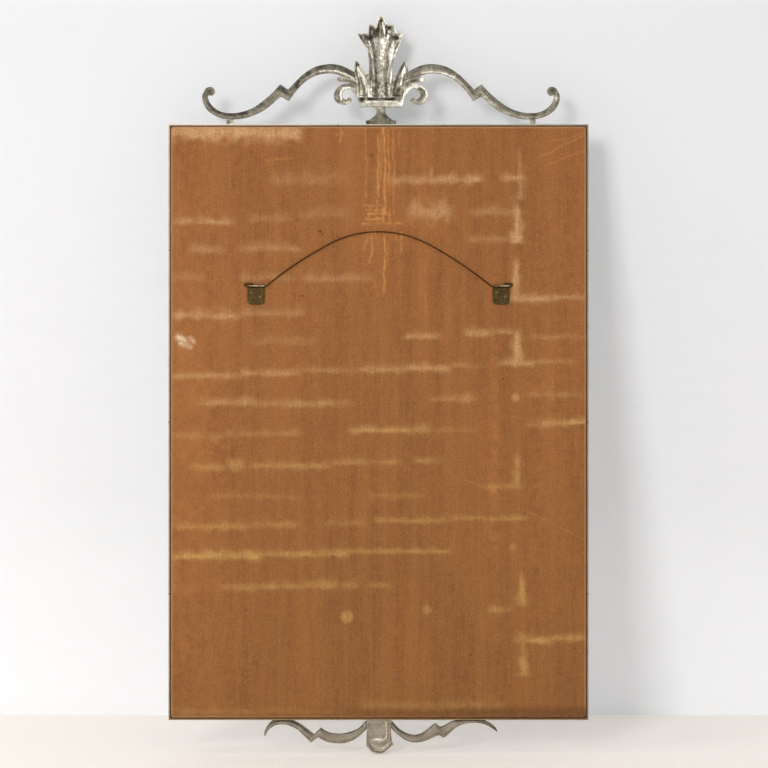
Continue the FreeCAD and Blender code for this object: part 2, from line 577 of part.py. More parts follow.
def build_wire():
    """The stiff hanging wire: an arch whose ends run through the barrels and turn back."""
    near = half_wire()
    far = [edge.mirror(Vector(), Vector(1, 0, 0)) for edge in near]
    path = Part.Wire(list(reversed(near)) + far)
    tail = near[-1].Vertexes[-1].Point
    section = Part.Wire(Part.makeCircle(size("wire_radius"), tail, Vector(1, 0, 0)))
    solid = path.makePipeShell([section], True, False)
    wire = doc.addObject("Part::Feature", "hanging_wire")
    wire.Shape = solid
    wire.Placement = Placement(Vector(0, 0, size("wire_radius")), Rotation())
    print("wire length", path.Length, "volume over length", solid.Volume / path.Length)
    return keep(wire, "hanging_wire")


def spot(share, reach, rise, depth=0.0):
    """A share of an ornament's reach and rise as a place: outward is +X, away is +Z."""
    return Vector(share[0] * reach, depth, share[1] * rise)


def curve(points):
    """One smooth edge through the points."""
    line = Part.BSplineCurve()
    line.interpolate(list(points))
    return line.toShape()


def rung(top, below, edge, ridge):
    """The six corners of a section across a scroll, thickest at the ridge."""
    crest = below + (top - below) * RIDGE_SHARE
    side = Vector(0, 1, 0)
    return [top - side * edge, top + side * edge, crest + side * ridge,
            below + side * edge, below - side * edge, crest - side * ridge]


def rung_row(tops, belows, reach, rise, edge, ridge):
    """The rungs of one strip, from its root to its end."""
    return [rung(spot(top, reach, rise), spot(below, reach, rise), edge, ridge)
            for top, below in zip(tops, belows)]


def strip_casting(rows):
    """A casting along rows of rungs. A smooth rail runs through each corner of a row, and the
    casting breaks sharply where one row ends on the rung that begins the next."""
    faces = []
    for row in rows:
        rails = [curve(corners) for corners in zip(*row)]
        for pair in zip(rails, rails[1:] + rails[:1]):
            faces += Part.makeLoft([Part.Wire([rail]) for rail in pair], False, True).Faces
    for end in (rows[0][0], rows[-1][-1]):
        faces.append(Part.Face(Part.makePolygon(end + end[:1])))
    shell = Part.makeShell(faces)
    shell.sewShape()
    solid = Part.makeSolid(shell)
    if solid.Volume < 0:
        solid.reverse()
    return solid


def joined(base, additions):
    """One casting out of solids that meet, and make sure that the base isn't lost."""
    whole = base.fuse(additions)
    if whole.Volume < base.Volume:
        raise RuntimeError(f"a casting lost its body: {whole.Volume} is left of {base.Volume}")
    return whole


def scroll(tops, belows, reach, rise, edge, ridge):
    """One smooth strip through its rungs."""
    return strip_casting([rung_row(tops, belows, reach, rise, edge, ridge)])


def split_scroll(inner, outer, reach, rise):
    """Two strips that meet in a chisel-shaped break, as one casting."""
    edge = size("casting_edge")
    ridge = size("casting_ridge")
    near = rung_row(*inner, reach, rise, edge, ridge)
    far = rung_row(*outer, reach, rise, edge, ridge)
    return strip_casting([near, [near[-1], far[0]], far])


def disc(share, reach, rise, radius, depth):
    """The rounded end of a scroll."""
    centre = spot(share, reach, rise, -depth / 2)
    return Part.makeCylinder(radius, depth, centre, Vector(0, 1, 0))


def slab(edges, depth):
    """A flat casting of a closed outline, centred on its own plane."""
    face = Part.Face(Part.Wire(edges))
    face.translate(Vector(0, -depth / 2, 0))
    return face.extrude(Vector(0, depth, 0))


def casting(name, shape, shift, z):
    """A free-form casting, set on the middle of the frame's depth."""
    feature = doc.addObject("Part::Feature", name)
    feature.Shape = shape
    feature.Placement = Placement(Vector(shift, value(CASTING_Y), z), Rotation())
    return keep(feature, name)


def mirrored(shape):
    """The same casting for the other side."""
    return shape.mirror(Vector(), Vector(1, 0, 0))


def crest_arm_shape(reach, rise):
    """An S scroll with a chisel break in its middle and a rounded, rolled end."""
    arm = split_scroll((ARM_INNER_TOP_SHARES, ARM_INNER_BELOW_SHARES),
                       (ARM_OUTER_TOP_SHARES, ARM_OUTER_BELOW_SHARES), reach, rise)
    eye = disc(ARM_EYE_SHARE, reach, rise, size("crest_eye_radius"), size("crest_eye_depth"))
    return joined(arm, [eye])


def leaf_shape(reach, rise):
    """A pointed leaf beside the palmette."""
    return scroll(LEAF_OUTER_SHARES, LEAF_INNER_SHARES, reach, rise, size("leaf_edge"), size("leaf_ridge"))


def volute_shape(reach, rise):
    """A rolled C scroll with a small leaflet on its back."""
    edge = size("casting_edge")
    ridge = size("casting_ridge")
    ring = scroll(VOLUTE_OUTER_SHARES, VOLUTE_INNER_SHARES, reach, rise, edge, ridge)
    leaflet = scroll(LEAFLET_TOP_SHARES, LEAFLET_BELOW_SHARES, reach, rise, edge, ridge)
    eye = disc(VOLUTE_EYE_SHARE, reach, rise, size("volute_eye_radius"), size("volute_eye_depth"))
    return joined(ring, [leaflet, eye])


def flute_section(height, half_width, depth, skin):
    """The palmette's hollow, fluted sheet cut across at one height."""
    back = []
    for across, share in PALMETTE_FLUTE_SHARES:
        back.append(Vector(across * half_width, share * depth - depth / 2 + skin, height))
    front = [place - Vector(0, skin, 0) for place in back]
    return Part.Wire([curve(back), Part.makeLine(back[-1], front[-1]),
                      curve(front[::-1]), Part.makeLine(front[0], back[0])])


def palmette_shape(reach, rise):
    """A flared palmette of five petals, hollow behind, cut from a fluted sheet."""
    depth = size("palmette_depth")
    skin = size("palmette_skin")
    sections = []
    for height, half_width in PALMETTE_FLARE_SHARES:
        sections.append(flute_section(height * rise, half_width * reach, depth, skin))
    sheet_metal = Part.makeLoft(sections, True, False)
    near = [spot(share, -reach, rise) for share in PALMETTE_NEAR_SHARES]
    tips = [spot(share, -reach, rise) for share in PALMETTE_TIP_SHARES]
    far = [spot(share, -reach, rise) for share in PALMETTE_FAR_SHARES]
    corners = [near[-1]] + tips + [far[0]]
    edges = [curve(near)]
    for start, end in zip(corners, corners[1:]):
        edges.append(Part.makeLine(start, end))
    edges.append(curve(far))
    edges.append(Part.makeLine(far[-1], near[0]))
    return sheet_metal.common(slab(edges, 2 * (depth + skin)))


def tray_shape(reach, rise):
    """The tray that carries the palmette, with a recess behind the palmette's foot."""
    bottom = spot(TRAY_BOTTOM_SHARE, reach, rise)
    top = spot(TRAY_TOP_SHARE, reach, rise)
    corners = [bottom, top, Vector(-top.x, 0, top.z), Vector(-bottom.x, 0, bottom.z), bottom]
    edges = [Part.makeLine(start, end) for start, end in zip(corners, corners[1:])]
    depth = size("tray_depth")
    block = slab(edges, depth)
    recess = spot(TRAY_RECESS_SHARES, reach, rise)
    back = depth / 2 - size("tray_recess_depth")
    cutter = Part.makeBox(2 * recess.x, depth, top.z - recess.z + size("overrun"),
                          Vector(-recess.x, back, recess.z))
    return block.cut(cutter)


def foot_shape(reach, rise):
    """A short stem on a bell-shaped foot."""
    half = [spot(share, reach, rise) for share in FOOT_SHARES]
    stem_top = Vector(half[0].x, 0, TRAY_BOTTOM_SHARE[1] * rise)
    base = Vector(half[-1].x, 0, 0)
    edges = [Part.makeLine(stem_top, half[0]), curve(half), Part.makeLine(half[-1], base)]
    other = [mirrored(edge) for edge in edges]
    floor = Part.makeLine(base, Vector(-base.x, 0, 0))
    top = Part.makeLine(Vector(-stem_top.x, 0, stem_top.z), stem_top)
    return slab(edges + [floor] + other[::-1] + [top], size("foot_depth"))


def peg_shape(reach, rise, arm):
    """A short peg from the rail up to the belly of an arm."""
    top = spot(PEG_SHARE, reach, rise)
    depth = size("peg_depth")
    width = size("peg_width")
    block = Part.makeBox(width, depth, top.z, Vector(top.x - width / 2, -depth / 2, 0))
    return block.cut(arm)


def build_crest():
    """Palmette, leaves, volutes, tray, foot, arms and pegs, soldered to each other."""
    reach = size("crest_reach")
    rise = size("crest_rise")
    shift = -size("crest_shift")
    level = value(FRAME_TOP_Z)
    palmette = palmette_shape(reach, rise)
    leaf = leaf_shape(reach, rise)
    arm = crest_arm_shape(reach, rise).cut(leaf)
    volute = volute_shape(reach, rise).cut(leaf).cut(arm)
    peg = peg_shape(reach, rise, arm)
    casting("crest_palmette", palmette, shift, level)
    casting("crest_tray", tray_shape(reach, rise), shift, level)
    casting("crest_foot", foot_shape(reach, rise), shift, level)
    for piece, shape in (("leaf", leaf), ("arm", arm), ("volute", volute), ("peg", peg)):
        for side, turned in (("right", shape), ("left", mirrored(shape))):
            casting(f"crest_{piece}_{side}", turned.cut(palmette), shift, level)


def apron_leaf_shape(reach, drop):
    """A hollow shell leaf that hangs below the middle of the frame."""
    near = [spot(share, -reach, drop) for share in SHELL_SIDE_SHARES]
    tip = [spot(share, -reach, drop) for share in SHELL_TIP_SHARES]
    far = [spot(share, -reach, drop) for share in SHELL_FAR_SHARES]
    edges = [curve(near), curve(tip), curve(far), Part.makeLine(far[-1], near[0])]
    depth = size("shell_depth")
    block = slab(edges, depth)
    centre = block.BoundBox.Center
    hollow = block.copy()
    hollow.scale(SHELL_HOLLOW_SHARE, Vector(centre.x, 0, centre.z))
    hollow_depth = hollow.BoundBox.YLength
    hollow.translate(Vector(0, depth / 2 - size("shell_hollow") + hollow_depth / 2, 0))
    return block.cut(hollow)


def build_apron():
    """The shell leaf and its two arms under the bottom rail."""
    reach = size("apron_reach")
    drop = -size("apron_drop")
    shift = -size("apron_shift")
    level = value(FRAME_BOTTOM_Z)
    leaf = apron_leaf_shape(reach, drop)
    casting("apron_leaf", leaf, shift, level)
    span = 2 * reach
    rail = Part.makeBox(span, span, span, Vector(0, -reach, 0))
    for side, (inner, outer) in APRON_ARM_SHARES.items():
        arm = split_scroll(inner, outer, reach, drop).cut(rail)
        if side == "left":
            arm = mirrored(arm)
        casting(f"apron_arm_{side}", arm.cut(leaf), shift, level)


def check_and_export():
    """Stop on any failed object, then write one file for each piece."""
    doc.recompute()
    for item in doc.Objects:
        if "Invalid" in item.State or "Error" in item.State:
            raise RuntimeError(f"{item.Label} failed: {item.State}")
    for piece in parts:
        shape = piece.Shape
        if shape.isNull() or not shape.isValid():
            raise RuntimeError(f"{piece.Label} has no valid shape")
        print(piece.Label, len(shape.Solids), round(shape.Volume, 1))
    os.makedirs("parts", exist_ok=True)
    for piece in parts:
        piece.Shape.exportStep(f"parts/{piece.Label}.step")


fill_sheet()
build_frame()
build_sheet("mirror_glass", "Sizes.glass_thickness", f"{FRONT_Y} + Sizes.lip_thickness")
build_sheet("packing_card", "Sizes.packing_thickness",
            f"{FRONT_Y} + Sizes.lip_thickness + Sizes.glass_thickness")
build_back_board()
build_rim_pins()
for hanger_side, side_name in ((1, "right"), (-1, "left")):
    build_hanger(f"hanger_{side_name}", hanger_side)
    build_hanger_pins(f"hanger_pins_{side_name}", hanger_side)
build_wire()
build_crest()
build_apron()
check_and_export()
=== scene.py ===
import json
import math

import bmesh
import bpy
import numpy as np
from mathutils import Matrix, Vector, noise
from mathutils.kdtree import KDTree


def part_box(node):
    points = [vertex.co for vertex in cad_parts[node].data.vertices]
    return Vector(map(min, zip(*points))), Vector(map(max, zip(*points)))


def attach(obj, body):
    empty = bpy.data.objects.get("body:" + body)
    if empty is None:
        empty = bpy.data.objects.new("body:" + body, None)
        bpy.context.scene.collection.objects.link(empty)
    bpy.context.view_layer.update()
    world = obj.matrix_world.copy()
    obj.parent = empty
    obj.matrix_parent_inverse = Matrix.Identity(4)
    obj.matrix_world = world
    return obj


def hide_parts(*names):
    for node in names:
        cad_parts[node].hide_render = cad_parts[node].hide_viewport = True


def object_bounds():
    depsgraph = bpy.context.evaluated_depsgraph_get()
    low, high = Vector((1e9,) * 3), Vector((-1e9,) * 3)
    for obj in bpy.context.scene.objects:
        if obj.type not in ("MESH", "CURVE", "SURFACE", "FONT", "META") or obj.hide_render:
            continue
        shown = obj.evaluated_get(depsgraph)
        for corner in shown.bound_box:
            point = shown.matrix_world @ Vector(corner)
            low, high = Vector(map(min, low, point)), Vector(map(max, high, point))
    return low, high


# A pewter wall mirror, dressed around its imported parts. Lengths are metres, the wall is at +Y.
# The photograph shows the back, so its camera stands at +Y and its left is +X. Pixels are its pixels.

MM = 0.001
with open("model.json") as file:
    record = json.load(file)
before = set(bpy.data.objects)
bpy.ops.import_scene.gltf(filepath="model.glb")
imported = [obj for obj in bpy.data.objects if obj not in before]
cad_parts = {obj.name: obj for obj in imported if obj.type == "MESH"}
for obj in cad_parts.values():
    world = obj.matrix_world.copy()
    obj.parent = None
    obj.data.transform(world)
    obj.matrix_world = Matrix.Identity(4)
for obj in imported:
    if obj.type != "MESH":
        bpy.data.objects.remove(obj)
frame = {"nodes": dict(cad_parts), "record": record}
cad_box = [list(corner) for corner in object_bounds()]

# The photograph: one pixel is one millimetre in the plane of the wire, seen straight on.
PHOTO_SIZE = 768
PIXEL = 1 * MM
AXIS_PIXEL = 378.5
HOOK_PIXEL = 232.3
CAMERA_DISTANCE = 2.6

# The room: its wall comes nearer towards the top, as if the mirror leaned on it.
WALL_GAP = 0.315
WALL_LEAN = 0.377
FLOOR_GAP = 1 * MM
ROOM_REACH = 4

TOP_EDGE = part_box("frame_top_rail")[1].z


def photo_place(x_pixel, y_pixel):
    """X and Z of a pixel of the photograph."""
    return (AXIS_PIXEL - x_pixel) * PIXEL, (HOOK_PIXEL - y_pixel) * PIXEL


def photo_pixels(places):
    """Pixels of the photograph at which points lie."""
    return AXIS_PIXEL - places[:, 0] / PIXEL, HOOK_PIXEL - places[:, 2] / PIXEL


def smooth_step(value, start, end):
    """0 before start, 1 after end and a smooth rise between them."""
    share = np.clip((value - start) / (end - start), 0, 1)
    return share * share * (3 - 2 * share)


def bell(value, centre, width):
    """1 at the centre, falling off over the width on both sides."""
    return np.exp(-((value - centre) / width) ** 2)


def noise_at(points, scale, seed):
    """Smooth noise between about -1 and 1 at each point."""
    shift = Vector((seed * 7.31, seed * 3.17, seed * 5.73))
    return np.array([noise.noise(Vector(point) * scale + shift) for point in points])


class Tree:
    """The nodes of one material."""

    def __init__(self, name, **inputs):
        self.material = bpy.data.materials.new(name)
        self.material.use_nodes = True
        self.nodes = self.material.node_tree.nodes
        self.shader = self.nodes["Principled BSDF"]
        self.place = self.add("ShaderNodeTexCoord").outputs["Object"]
        self.set(**inputs)

    def feed(self, socket, item):
        """Link a socket to another one, or set it to a plain value."""
        if isinstance(item, bpy.types.NodeSocket):
            self.material.node_tree.links.new(item, socket)
        else:
            socket.default_value = item

    def fill(self, node, inputs):
        """Feed a node's inputs by name."""
        for name, item in inputs.items():
            self.feed(node.inputs[name.replace("_", " ")], item)
        return node

    def add(self, kind, **inputs):
        """A new node with its inputs fed."""
        return self.fill(self.nodes.new(kind), inputs)

    def set(self, **inputs):
        """Feed the shader's own inputs."""
        self.fill(self.shader, inputs)

    def stretch(self, *scales):
        """The object's coordinates, scaled by axis."""
        return self.add("ShaderNodeMapping", Vector=self.place, Scale=scales).outputs["Vector"]

    def split(self, vector):
        """X, Y and Z of a vector."""
        return self.add("ShaderNodeSeparateXYZ", Vector=vector).outputs

    def noise(self, scale, detail, rough=0.6, vector=None):
        """A noise value from 0 to 1."""
        node = self.add("ShaderNodeTexNoise", Scale=scale, Detail=detail, Roughness=rough)
        self.feed(node.inputs["Vector"], vector or self.place)
        return node.outputs["Fac"]

    def attribute(self, name):
        """A value that the mesh carries at its points."""
        node = self.add("ShaderNodeAttribute")
        node.attribute_name = name
        return node.outputs["Fac"]

    def spread(self, source, low=0.35, high=0.65, start=0, end=1):
        """Map low..high of a value to start..end, held at both ends."""
        node = self.add("ShaderNodeMapRange", Value=source, From_Min=low, From_Max=high)
        self.fill(node, {"To Min": start, "To Max": end})
        return node.outputs["Result"]

    def combine(self, operation, first, second):
        """Arithmetic on two values, each a socket or a plain number."""
        node = self.add("ShaderNodeMath")
        node.operation = operation
        self.feed(node.inputs[0], first)
        self.feed(node.inputs[1], second)
        return node.outputs["Value"]

    def mix(self, share, first, second, blend="MIX"):
        """Mix two colours, each a socket or a plain colour."""
        node = self.add("ShaderNodeMix")
        node.data_type = "RGBA"
        node.blend_type = blend
        self.feed(node.inputs["Factor"], share)
        sockets = [socket for socket in node.inputs if socket.type == "RGBA"]
        for socket, item in zip(sockets, (first, second)):
            self.feed(socket, (*item, 1) if isinstance(item, tuple) else item)
        return next(socket for socket in node.outputs if socket.type == "RGBA")

    def bump(self, height, depth, strength):
        """Fine relief, its depth in metres."""
        node = self.add("ShaderNodeBump", Strength=strength, Distance=depth, Height=height)
        self.set(Normal=node.outputs["Normal"])


def shaded(colour, factor):
    """A colour made darker or paler."""
    return tuple(min(channel * factor, 1) for channel in colour)


def cast_pewter(name, dark, middle, bright, grain=1):
    """Cast pewter: dark patina and painted shade, a speckled middle tone, pale wear and painted
    highlights.
    """
    tree = Tree(name, Metallic=1)
    speckle = tree.noise(780, 4, 0.7)
    cloud = tree.noise(190, 4)
    tint = tree.noise(95, 2, 0.5)
    shade = tree.combine("ADD", tree.spread(cloud, 0.32, 0.68, -0.14 * grain, 0.14 * grain),
                         tree.spread(speckle, 0.3, 0.7, -0.17 * grain, 0.17 * grain))
    level = tree.combine("ADD", tree.attribute("tone"), shade)
    ground = tree.mix(tree.spread(level, 0.1, 0.5), dark, middle)
    colour = tree.mix(tree.spread(level, 0.5, 0.95), ground, bright)
    blued = tree.mix(tree.spread(tint, 0.48, 0.66, 0, 0.3), colour, (0.92, 0.98, 1), "MULTIPLY")
    tree.set(Base_Color=blued, Roughness=tree.spread(level, 0.15, 0.9, 0.55, 0.26))
    tree.bump(speckle, 0.15 * MM, 0.6 * grain)
    return tree.material


# Where, towards the back, the frame's brown tarnish begins and is full.
TARNISH_LEVELS = (-3.4 * MM, -1 * MM)


def rolled_pewter(name, colour, wear_and_highlight, tarnish):
    """The frame's drawn pewter: satin with fine marks, brown tarnish along its back edge and a painted
    highlight on top.
    """
    tree = Tree(name, Metallic=1)
    cloud = tree.noise(60, 4)
    fine = tree.noise(700, 3)
    stained = tree.mix(tree.spread(cloud), colour, wear_and_highlight)
    marked = tree.mix(tree.spread(fine, 0.4, 0.75, 0, 0.35), stained, wear_and_highlight)
    axes = tree.split(tree.place)
    behind = tree.spread(axes["Y"], *TARNISH_LEVELS)
    browned = tree.mix(tree.spread(cloud), tarnish, shaded(tarnish, 0.72))
    # Painted highlight: along the top of the frame the brown back edge is made pale beige.
    top_highlight = tree.spread(axes["Z"], TOP_EDGE - 1.6 * MM, TOP_EDGE - 0.6 * MM)
    backed = tree.mix(tree.combine("MULTIPLY", top_highlight, 0.85), browned, (0.39, 0.345, 0.275))
    tree.set(Base_Color=tree.mix(behind, marked, backed), Roughness=tree.spread(fine, 0.3, 0.7, 0.3, 0.48))
    tree.bump(fine, 0.05 * MM, 0.4)
    return tree.material


def aged_brass(name, olive, brown, painted_highlight):
    """Thin brass strap, olive with brown stains, and pale where its tone attribute paints a highlight."""
    tree = Tree(name, Metallic=0.85)
    cloud = tree.noise(330, 3)
    fine = tree.noise(1500, 3)
    ground = tree.mix(tree.spread(cloud, 0.4, 0.62), brown, olive)
    # The tone's share mixes in the pale painted highlight along the top of the roll.
    wear_and_highlight = tree.spread(tree.attribute("tone"), 0.55, 0.95)
    tree.set(Base_Color=tree.mix(wear_and_highlight, ground, painted_highlight), Roughness=tree.spread(fine, 0.3, 0.7, 0.36, 0.55))
    tree.bump(fine, 0.05 * MM, 0.5)
    return tree.material


def plain_metal(name, colour, stain, scale, rough, painted_highlight=None):
    """A small metal piece with faint clouds of tarnish. Its upper side may get a paler painted highlight.
    """
    tree = Tree(name, Metallic=0.9)
    cloud = tree.noise(scale, 4)
    clouded = tree.mix(tree.spread(cloud), colour, stain)
    if painted_highlight:
        # Painted highlight: faces that point upwards are mixed towards the pale colour.
        upward = tree.split(tree.add("ShaderNodeTexCoord").outputs["Normal"])["Z"]
        clouded = tree.mix(tree.spread(upward, 0.35, 0.85, 0, 0.6), clouded, painted_highlight)
    tree.set(Base_Color=clouded, Roughness=tree.spread(cloud, 0.3, 0.7, rough - 0.08, rough + 0.08))
    tree.bump(cloud, 0.03 * MM, 0.4)
    return tree.material


def silvered_glass(name):
    """Plate glass silvered behind, with faint cloudiness of age."""
    tree = Tree(name, Metallic=1)
    cloud = tree.noise(14, 5)
    silver = tree.mix(tree.spread(cloud, 0.55, 0.85), (0.86, 0.88, 0.88), (0.74, 0.76, 0.75))
    tree.set(Base_Color=silver, Roughness=tree.spread(cloud, 0.4, 0.9, 0.015, 0.06))
    return tree.material


def card(name):
    """Grey-brown packing card with fibres."""
    tree = Tree(name)
    fibre = tree.noise(500, 4, 0.7)
    grey = tree.mix(tree.spread(fibre), (0.2, 0.16, 0.11), (0.3, 0.25, 0.18))
    tree.set(Base_Color=grey, Roughness=0.9)
    tree.bump(fibre, 0.06 * MM, 0.5)
    return tree.material


def hardboard(name):
    """Brown hardboard: mottled fibre, pale water stains, orange runs and a rubbed edge."""
    tree = Tree(name, Roughness=0.82, Specular_IOR_Level=0.25)
    fibre = tree.noise(520, 5, 0.8)
    blotch = tree.noise(30, 4)
    patch = tree.noise(120, 3)
    band = tree.noise(55, 3, 0.6, tree.stretch(1, 1, 0.06))
    brush = tree.noise(420, 3, 0.65, tree.stretch(1, 1, 0.07))
    fleck = tree.noise(1100, 2, 0.5)
    ragged = tree.combine("MULTIPLY", tree.spread(fibre, 0.25, 0.72, 0.5, 1.25),
                          tree.spread(brush, 0.3, 0.65, 0.75, 1.1))
    broken = tree.spread(fleck, 0.35, 0.65, 0.35, 1.15)
    golden = tree.spread(tree.attribute("low"), 0.22, 0.62)
    water = tree.mix(golden, (0.6, 0.345, 0.16), (0.52, 0.29, 0.086))
    surface = tree.mix(tree.attribute("low"), (0.286, 0.104, 0.029), (0.262, 0.11, 0.03))
    layers = (
        (tree.attribute("warm"), (0.5, 0.182, 0.048)),
        (tree.spread(blotch, 0.34, 0.66, 0, 0.6), (0.238, 0.088, 0.0265)),
        (tree.spread(patch, 0.38, 0.64, 0, 0.42), (0.19, 0.07, 0.0205)),
        (tree.spread(band, 0.4, 0.62, 0, 0.62), (0.335, 0.13, 0.0355)),
        (tree.spread(brush, 0.42, 0.66, 0, 0.34), (0.35, 0.142, 0.041)),
        (tree.combine("MULTIPLY", tree.attribute("stain"), ragged), water),
        (tree.combine("MULTIPLY", tree.attribute("smear"), ragged), (0.82, 0.62, 0.4)),
        (tree.combine("MULTIPLY", tree.attribute("run"), broken), (0.68, 0.3, 0.085)),
        (tree.attribute("rub"), (0.6, 0.32, 0.14)),
        (tree.spread(fibre, 0.3, 0.5, 0.42, 0), (0.13, 0.05, 0.016)),
        (tree.spread(fibre, 0.52, 0.7, 0, 0.28), (0.56, 0.285, 0.13)),
        (tree.attribute("dark_foot"), (0.15, 0.06, 0.02)),
        (tree.attribute("speck"), (0.075, 0.036, 0.016)),
    )
    for share, colour in layers:
        surface = tree.mix(share, surface, colour)
    tree.set(Base_Color=surface)
    tree.bump(fibre, 0.3 * MM, 0.6)
    return tree.material


# The wall has painted shade above and painted light towards the floor: levels, and its shares of colour
# and glow.
WALL_TOP_LEVEL = 0.21
WALL_EVEN_LEVEL = -0.37
WALL_GLOW_LEVEL = -0.27
WALL_FOOT_LEVEL = -0.48
WALL_TOP_SHARE = 0.835
WALL_FOOT_GLOW = 0.1


def plain_stage(name, colour, lift, is_wall=False):
    """A matt wall or floor, paler to the eye than to the object. The wall has only one side and painted
    shading.
    """
    tree = Tree(name, Roughness=0.95, Specular_IOR_Level=0.1)
    patch = tree.noise(1.6, 3, 0.5)
    grit = tree.noise(70, 4, 0.6, tree.stretch(0.35, 1, 1))
    clouded = tree.mix(tree.spread(patch, 0.3, 0.7), colour, shaded(colour, 1.02))
    gritty = tree.mix(tree.spread(grit, 0.3, 0.6, 1, 0), clouded, shaded(colour, 0.985))
    glow = lift
    if is_wall:
        # Painted shade and light: the wall is darker towards the top and glows more towards the floor.
        height = tree.split(tree.place)["Z"]
        above = shaded(colour, WALL_TOP_SHARE)
        gritty = tree.mix(tree.spread(height, WALL_EVEN_LEVEL, WALL_TOP_LEVEL), gritty, above)
        glow = tree.spread(height, WALL_FOOT_LEVEL, WALL_GLOW_LEVEL, lift + WALL_FOOT_GLOW, lift)
    path = tree.add("ShaderNodeLightPath").outputs
    mirrored = tree.combine("MAXIMUM", path["Is Glossy Ray"], path["Is Transmission Ray"])
    seen = tree.combine("MAXIMUM", path["Is Camera Ray"], mirrored)
    tree.set(Base_Color=gritty, Emission_Color=(*colour, 1))
    tree.set(Emission_Strength=tree.combine("MULTIPLY", seen, glow))
    if is_wall:
        side = tree.add("ShaderNodeNewGeometry").outputs["Backfacing"]
        blend = tree.add("ShaderNodeMixShader", Fac=side)
        tree.feed(blend.inputs[1], tree.shader.outputs["BSDF"])
        tree.feed(blend.inputs[2], tree.add("ShaderNodeBsdfTransparent").outputs["BSDF"])
        tree.feed(tree.nodes["Material Output"].inputs["Surface"], blend.outputs["Shader"])
    return tree.material


MATERIALS = {
    "cast": cast_pewter(
        "cast_pewter_back", (0.05, 0.043, 0.031), (0.262, 0.238, 0.184), (0.84, 0.8, 0.69)),
    "apron": cast_pewter(
        "apron_pewter", (0.08, 0.064, 0.044), (0.268, 0.228, 0.172), (0.74, 0.68, 0.57), 0.4),
    "frame_pewter": rolled_pewter(
        "frame_pewter_drawn", (0.33, 0.31, 0.26), (0.52, 0.49, 0.42), (0.4, 0.262, 0.135)),
    # The strap's last colour is a painted highlight on its roll, the wire's last colour a painted
    # highlight on top.
    "aged_brass": aged_brass("strap_brass", (0.09, 0.06, 0.016), (0.05, 0.026, 0.008), (0.66, 0.5, 0.39)),
    "brass_pins": plain_metal("pin_brass", (0.21, 0.175, 0.1), (0.12, 0.088, 0.04), 900, 0.42),
    "steel_pins": plain_metal("pin_steel", (0.07, 0.058, 0.042), (0.13, 0.095, 0.06), 900, 0.5),
    "iron_wire": plain_metal(
        "dark_wire", (0.056, 0.017, 0.003), (0.086, 0.036, 0.009), 60, 0.36, (0.46, 0.28, 0.12)),
    "mirror_plate": silvered_glass("silvered_plate"),
    "packing_card": card("grey_card"),
    "hardboard": hardboard("brown_hardboard"),
}


def put_in_scene(name, data):
    """A new object, linked into the scene."""
    thing = bpy.data.objects.new(name, data)
    bpy.context.scene.collection.objects.link(thing)
    return thing


def new_object(name, mesh, material):
    """An object in the scene with one material."""
    piece = put_in_scene(name, mesh)
    mesh.materials.clear()
    mesh.materials.append(material)
    return piece


def stand_for(node, name, mesh, material):
    """A smoothly shaded piece in a node's place on the mirror."""
    mesh.polygons.foreach_set("use_smooth", [True] * len(mesh.polygons))
    mesh.update()
    piece = new_object(name, mesh, material)
    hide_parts(node)
    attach(piece, "mirror")


def add_prism(seams, corners, front, back):
    """A closed prism between two levels of Y, its outline in pixels."""
    places = [photo_place(*corner) for corner in corners]
    fore = [seams.verts.new((x, front, z)) for x, z in places]
    aft = [seams.verts.new((x, back, z)) for x, z in places]
    sides = zip(fore[1:] + fore[:1], fore, aft, aft[1:] + aft[:1])
    faces = [seams.faces.new(loop) for loop in (fore, aft[::-1], *sides)]
    bmesh.ops.recalc_face_normals(seams, faces=faces)


WELD_DISTANCE = 0.002 * MM


def even_mesh(node, voxel, rounds, prisms=()):
    """A finely and evenly pointed copy of a part's solid, its sharp edges a little rounded."""
    mesh = frame["nodes"][node].data.copy()
    seams = bmesh.new()
    seams.from_mesh(mesh)
    bmesh.ops.remove_doubles(seams, verts=seams.verts, dist=WELD_DISTANCE)
    for corners, front, back in prisms:
        add_prism(seams, corners, front, back)
    seams.to_mesh(mesh)
    seams.free()
    helper = put_in_scene("helper", mesh)
    remesh = helper.modifiers.new("even", "REMESH")
    remesh.mode = "VOXEL"
    remesh.voxel_size = voxel
    rounder = helper.modifiers.new("round", "SMOOTH")
    rounder.factor = 0.5
    rounder.iterations = rounds
    bpy.context.view_layer.update()
    evaluated = helper.evaluated_get(bpy.context.evaluated_depsgraph_get())
    result = bpy.data.meshes.new_from_object(evaluated)
    bpy.data.objects.remove(helper)
    return result


def read_points(mesh):
    """Places and normals of a mesh's points."""
    count = len(mesh.vertices)
    places = np.empty(count * 3)
    normals = np.empty(count * 3)
    mesh.vertices.foreach_get("co", places)
    mesh.vertices.foreach_get("normal", normals)
    return places.reshape(-1, 3), normals.reshape(-1, 3)


def set_points(mesh, places, low, high):
    """Move a mesh's points, held inside a box."""
    mesh.vertices.foreach_set("co", np.clip(places, np.array(low), np.array(high)).ravel())
    mesh.update()


def fill_box(places, low, high):
    """The points stretched to reach all sides of a box again."""
    least = places.min(axis=0)
    return low + (places - least) * (high - low) / (places.max(axis=0) - least)


# How far a normal may lean to the front or back while it still points sideways.
SIDE_SLOPE = 0.45


def rim_distance(places, normals):
    """How far each point lies, seen from behind, from the outline of its piece."""
    side = np.flatnonzero(np.abs(normals[:, 1]) < SIDE_SLOPE)
    tree = KDTree(len(side))
    for index in side:
        tree.insert((places[index, 0], 0, places[index, 2]), int(index))
    tree.balance()
    return np.array([tree.find((place[0], 0, place[2]))[2] for place in places])


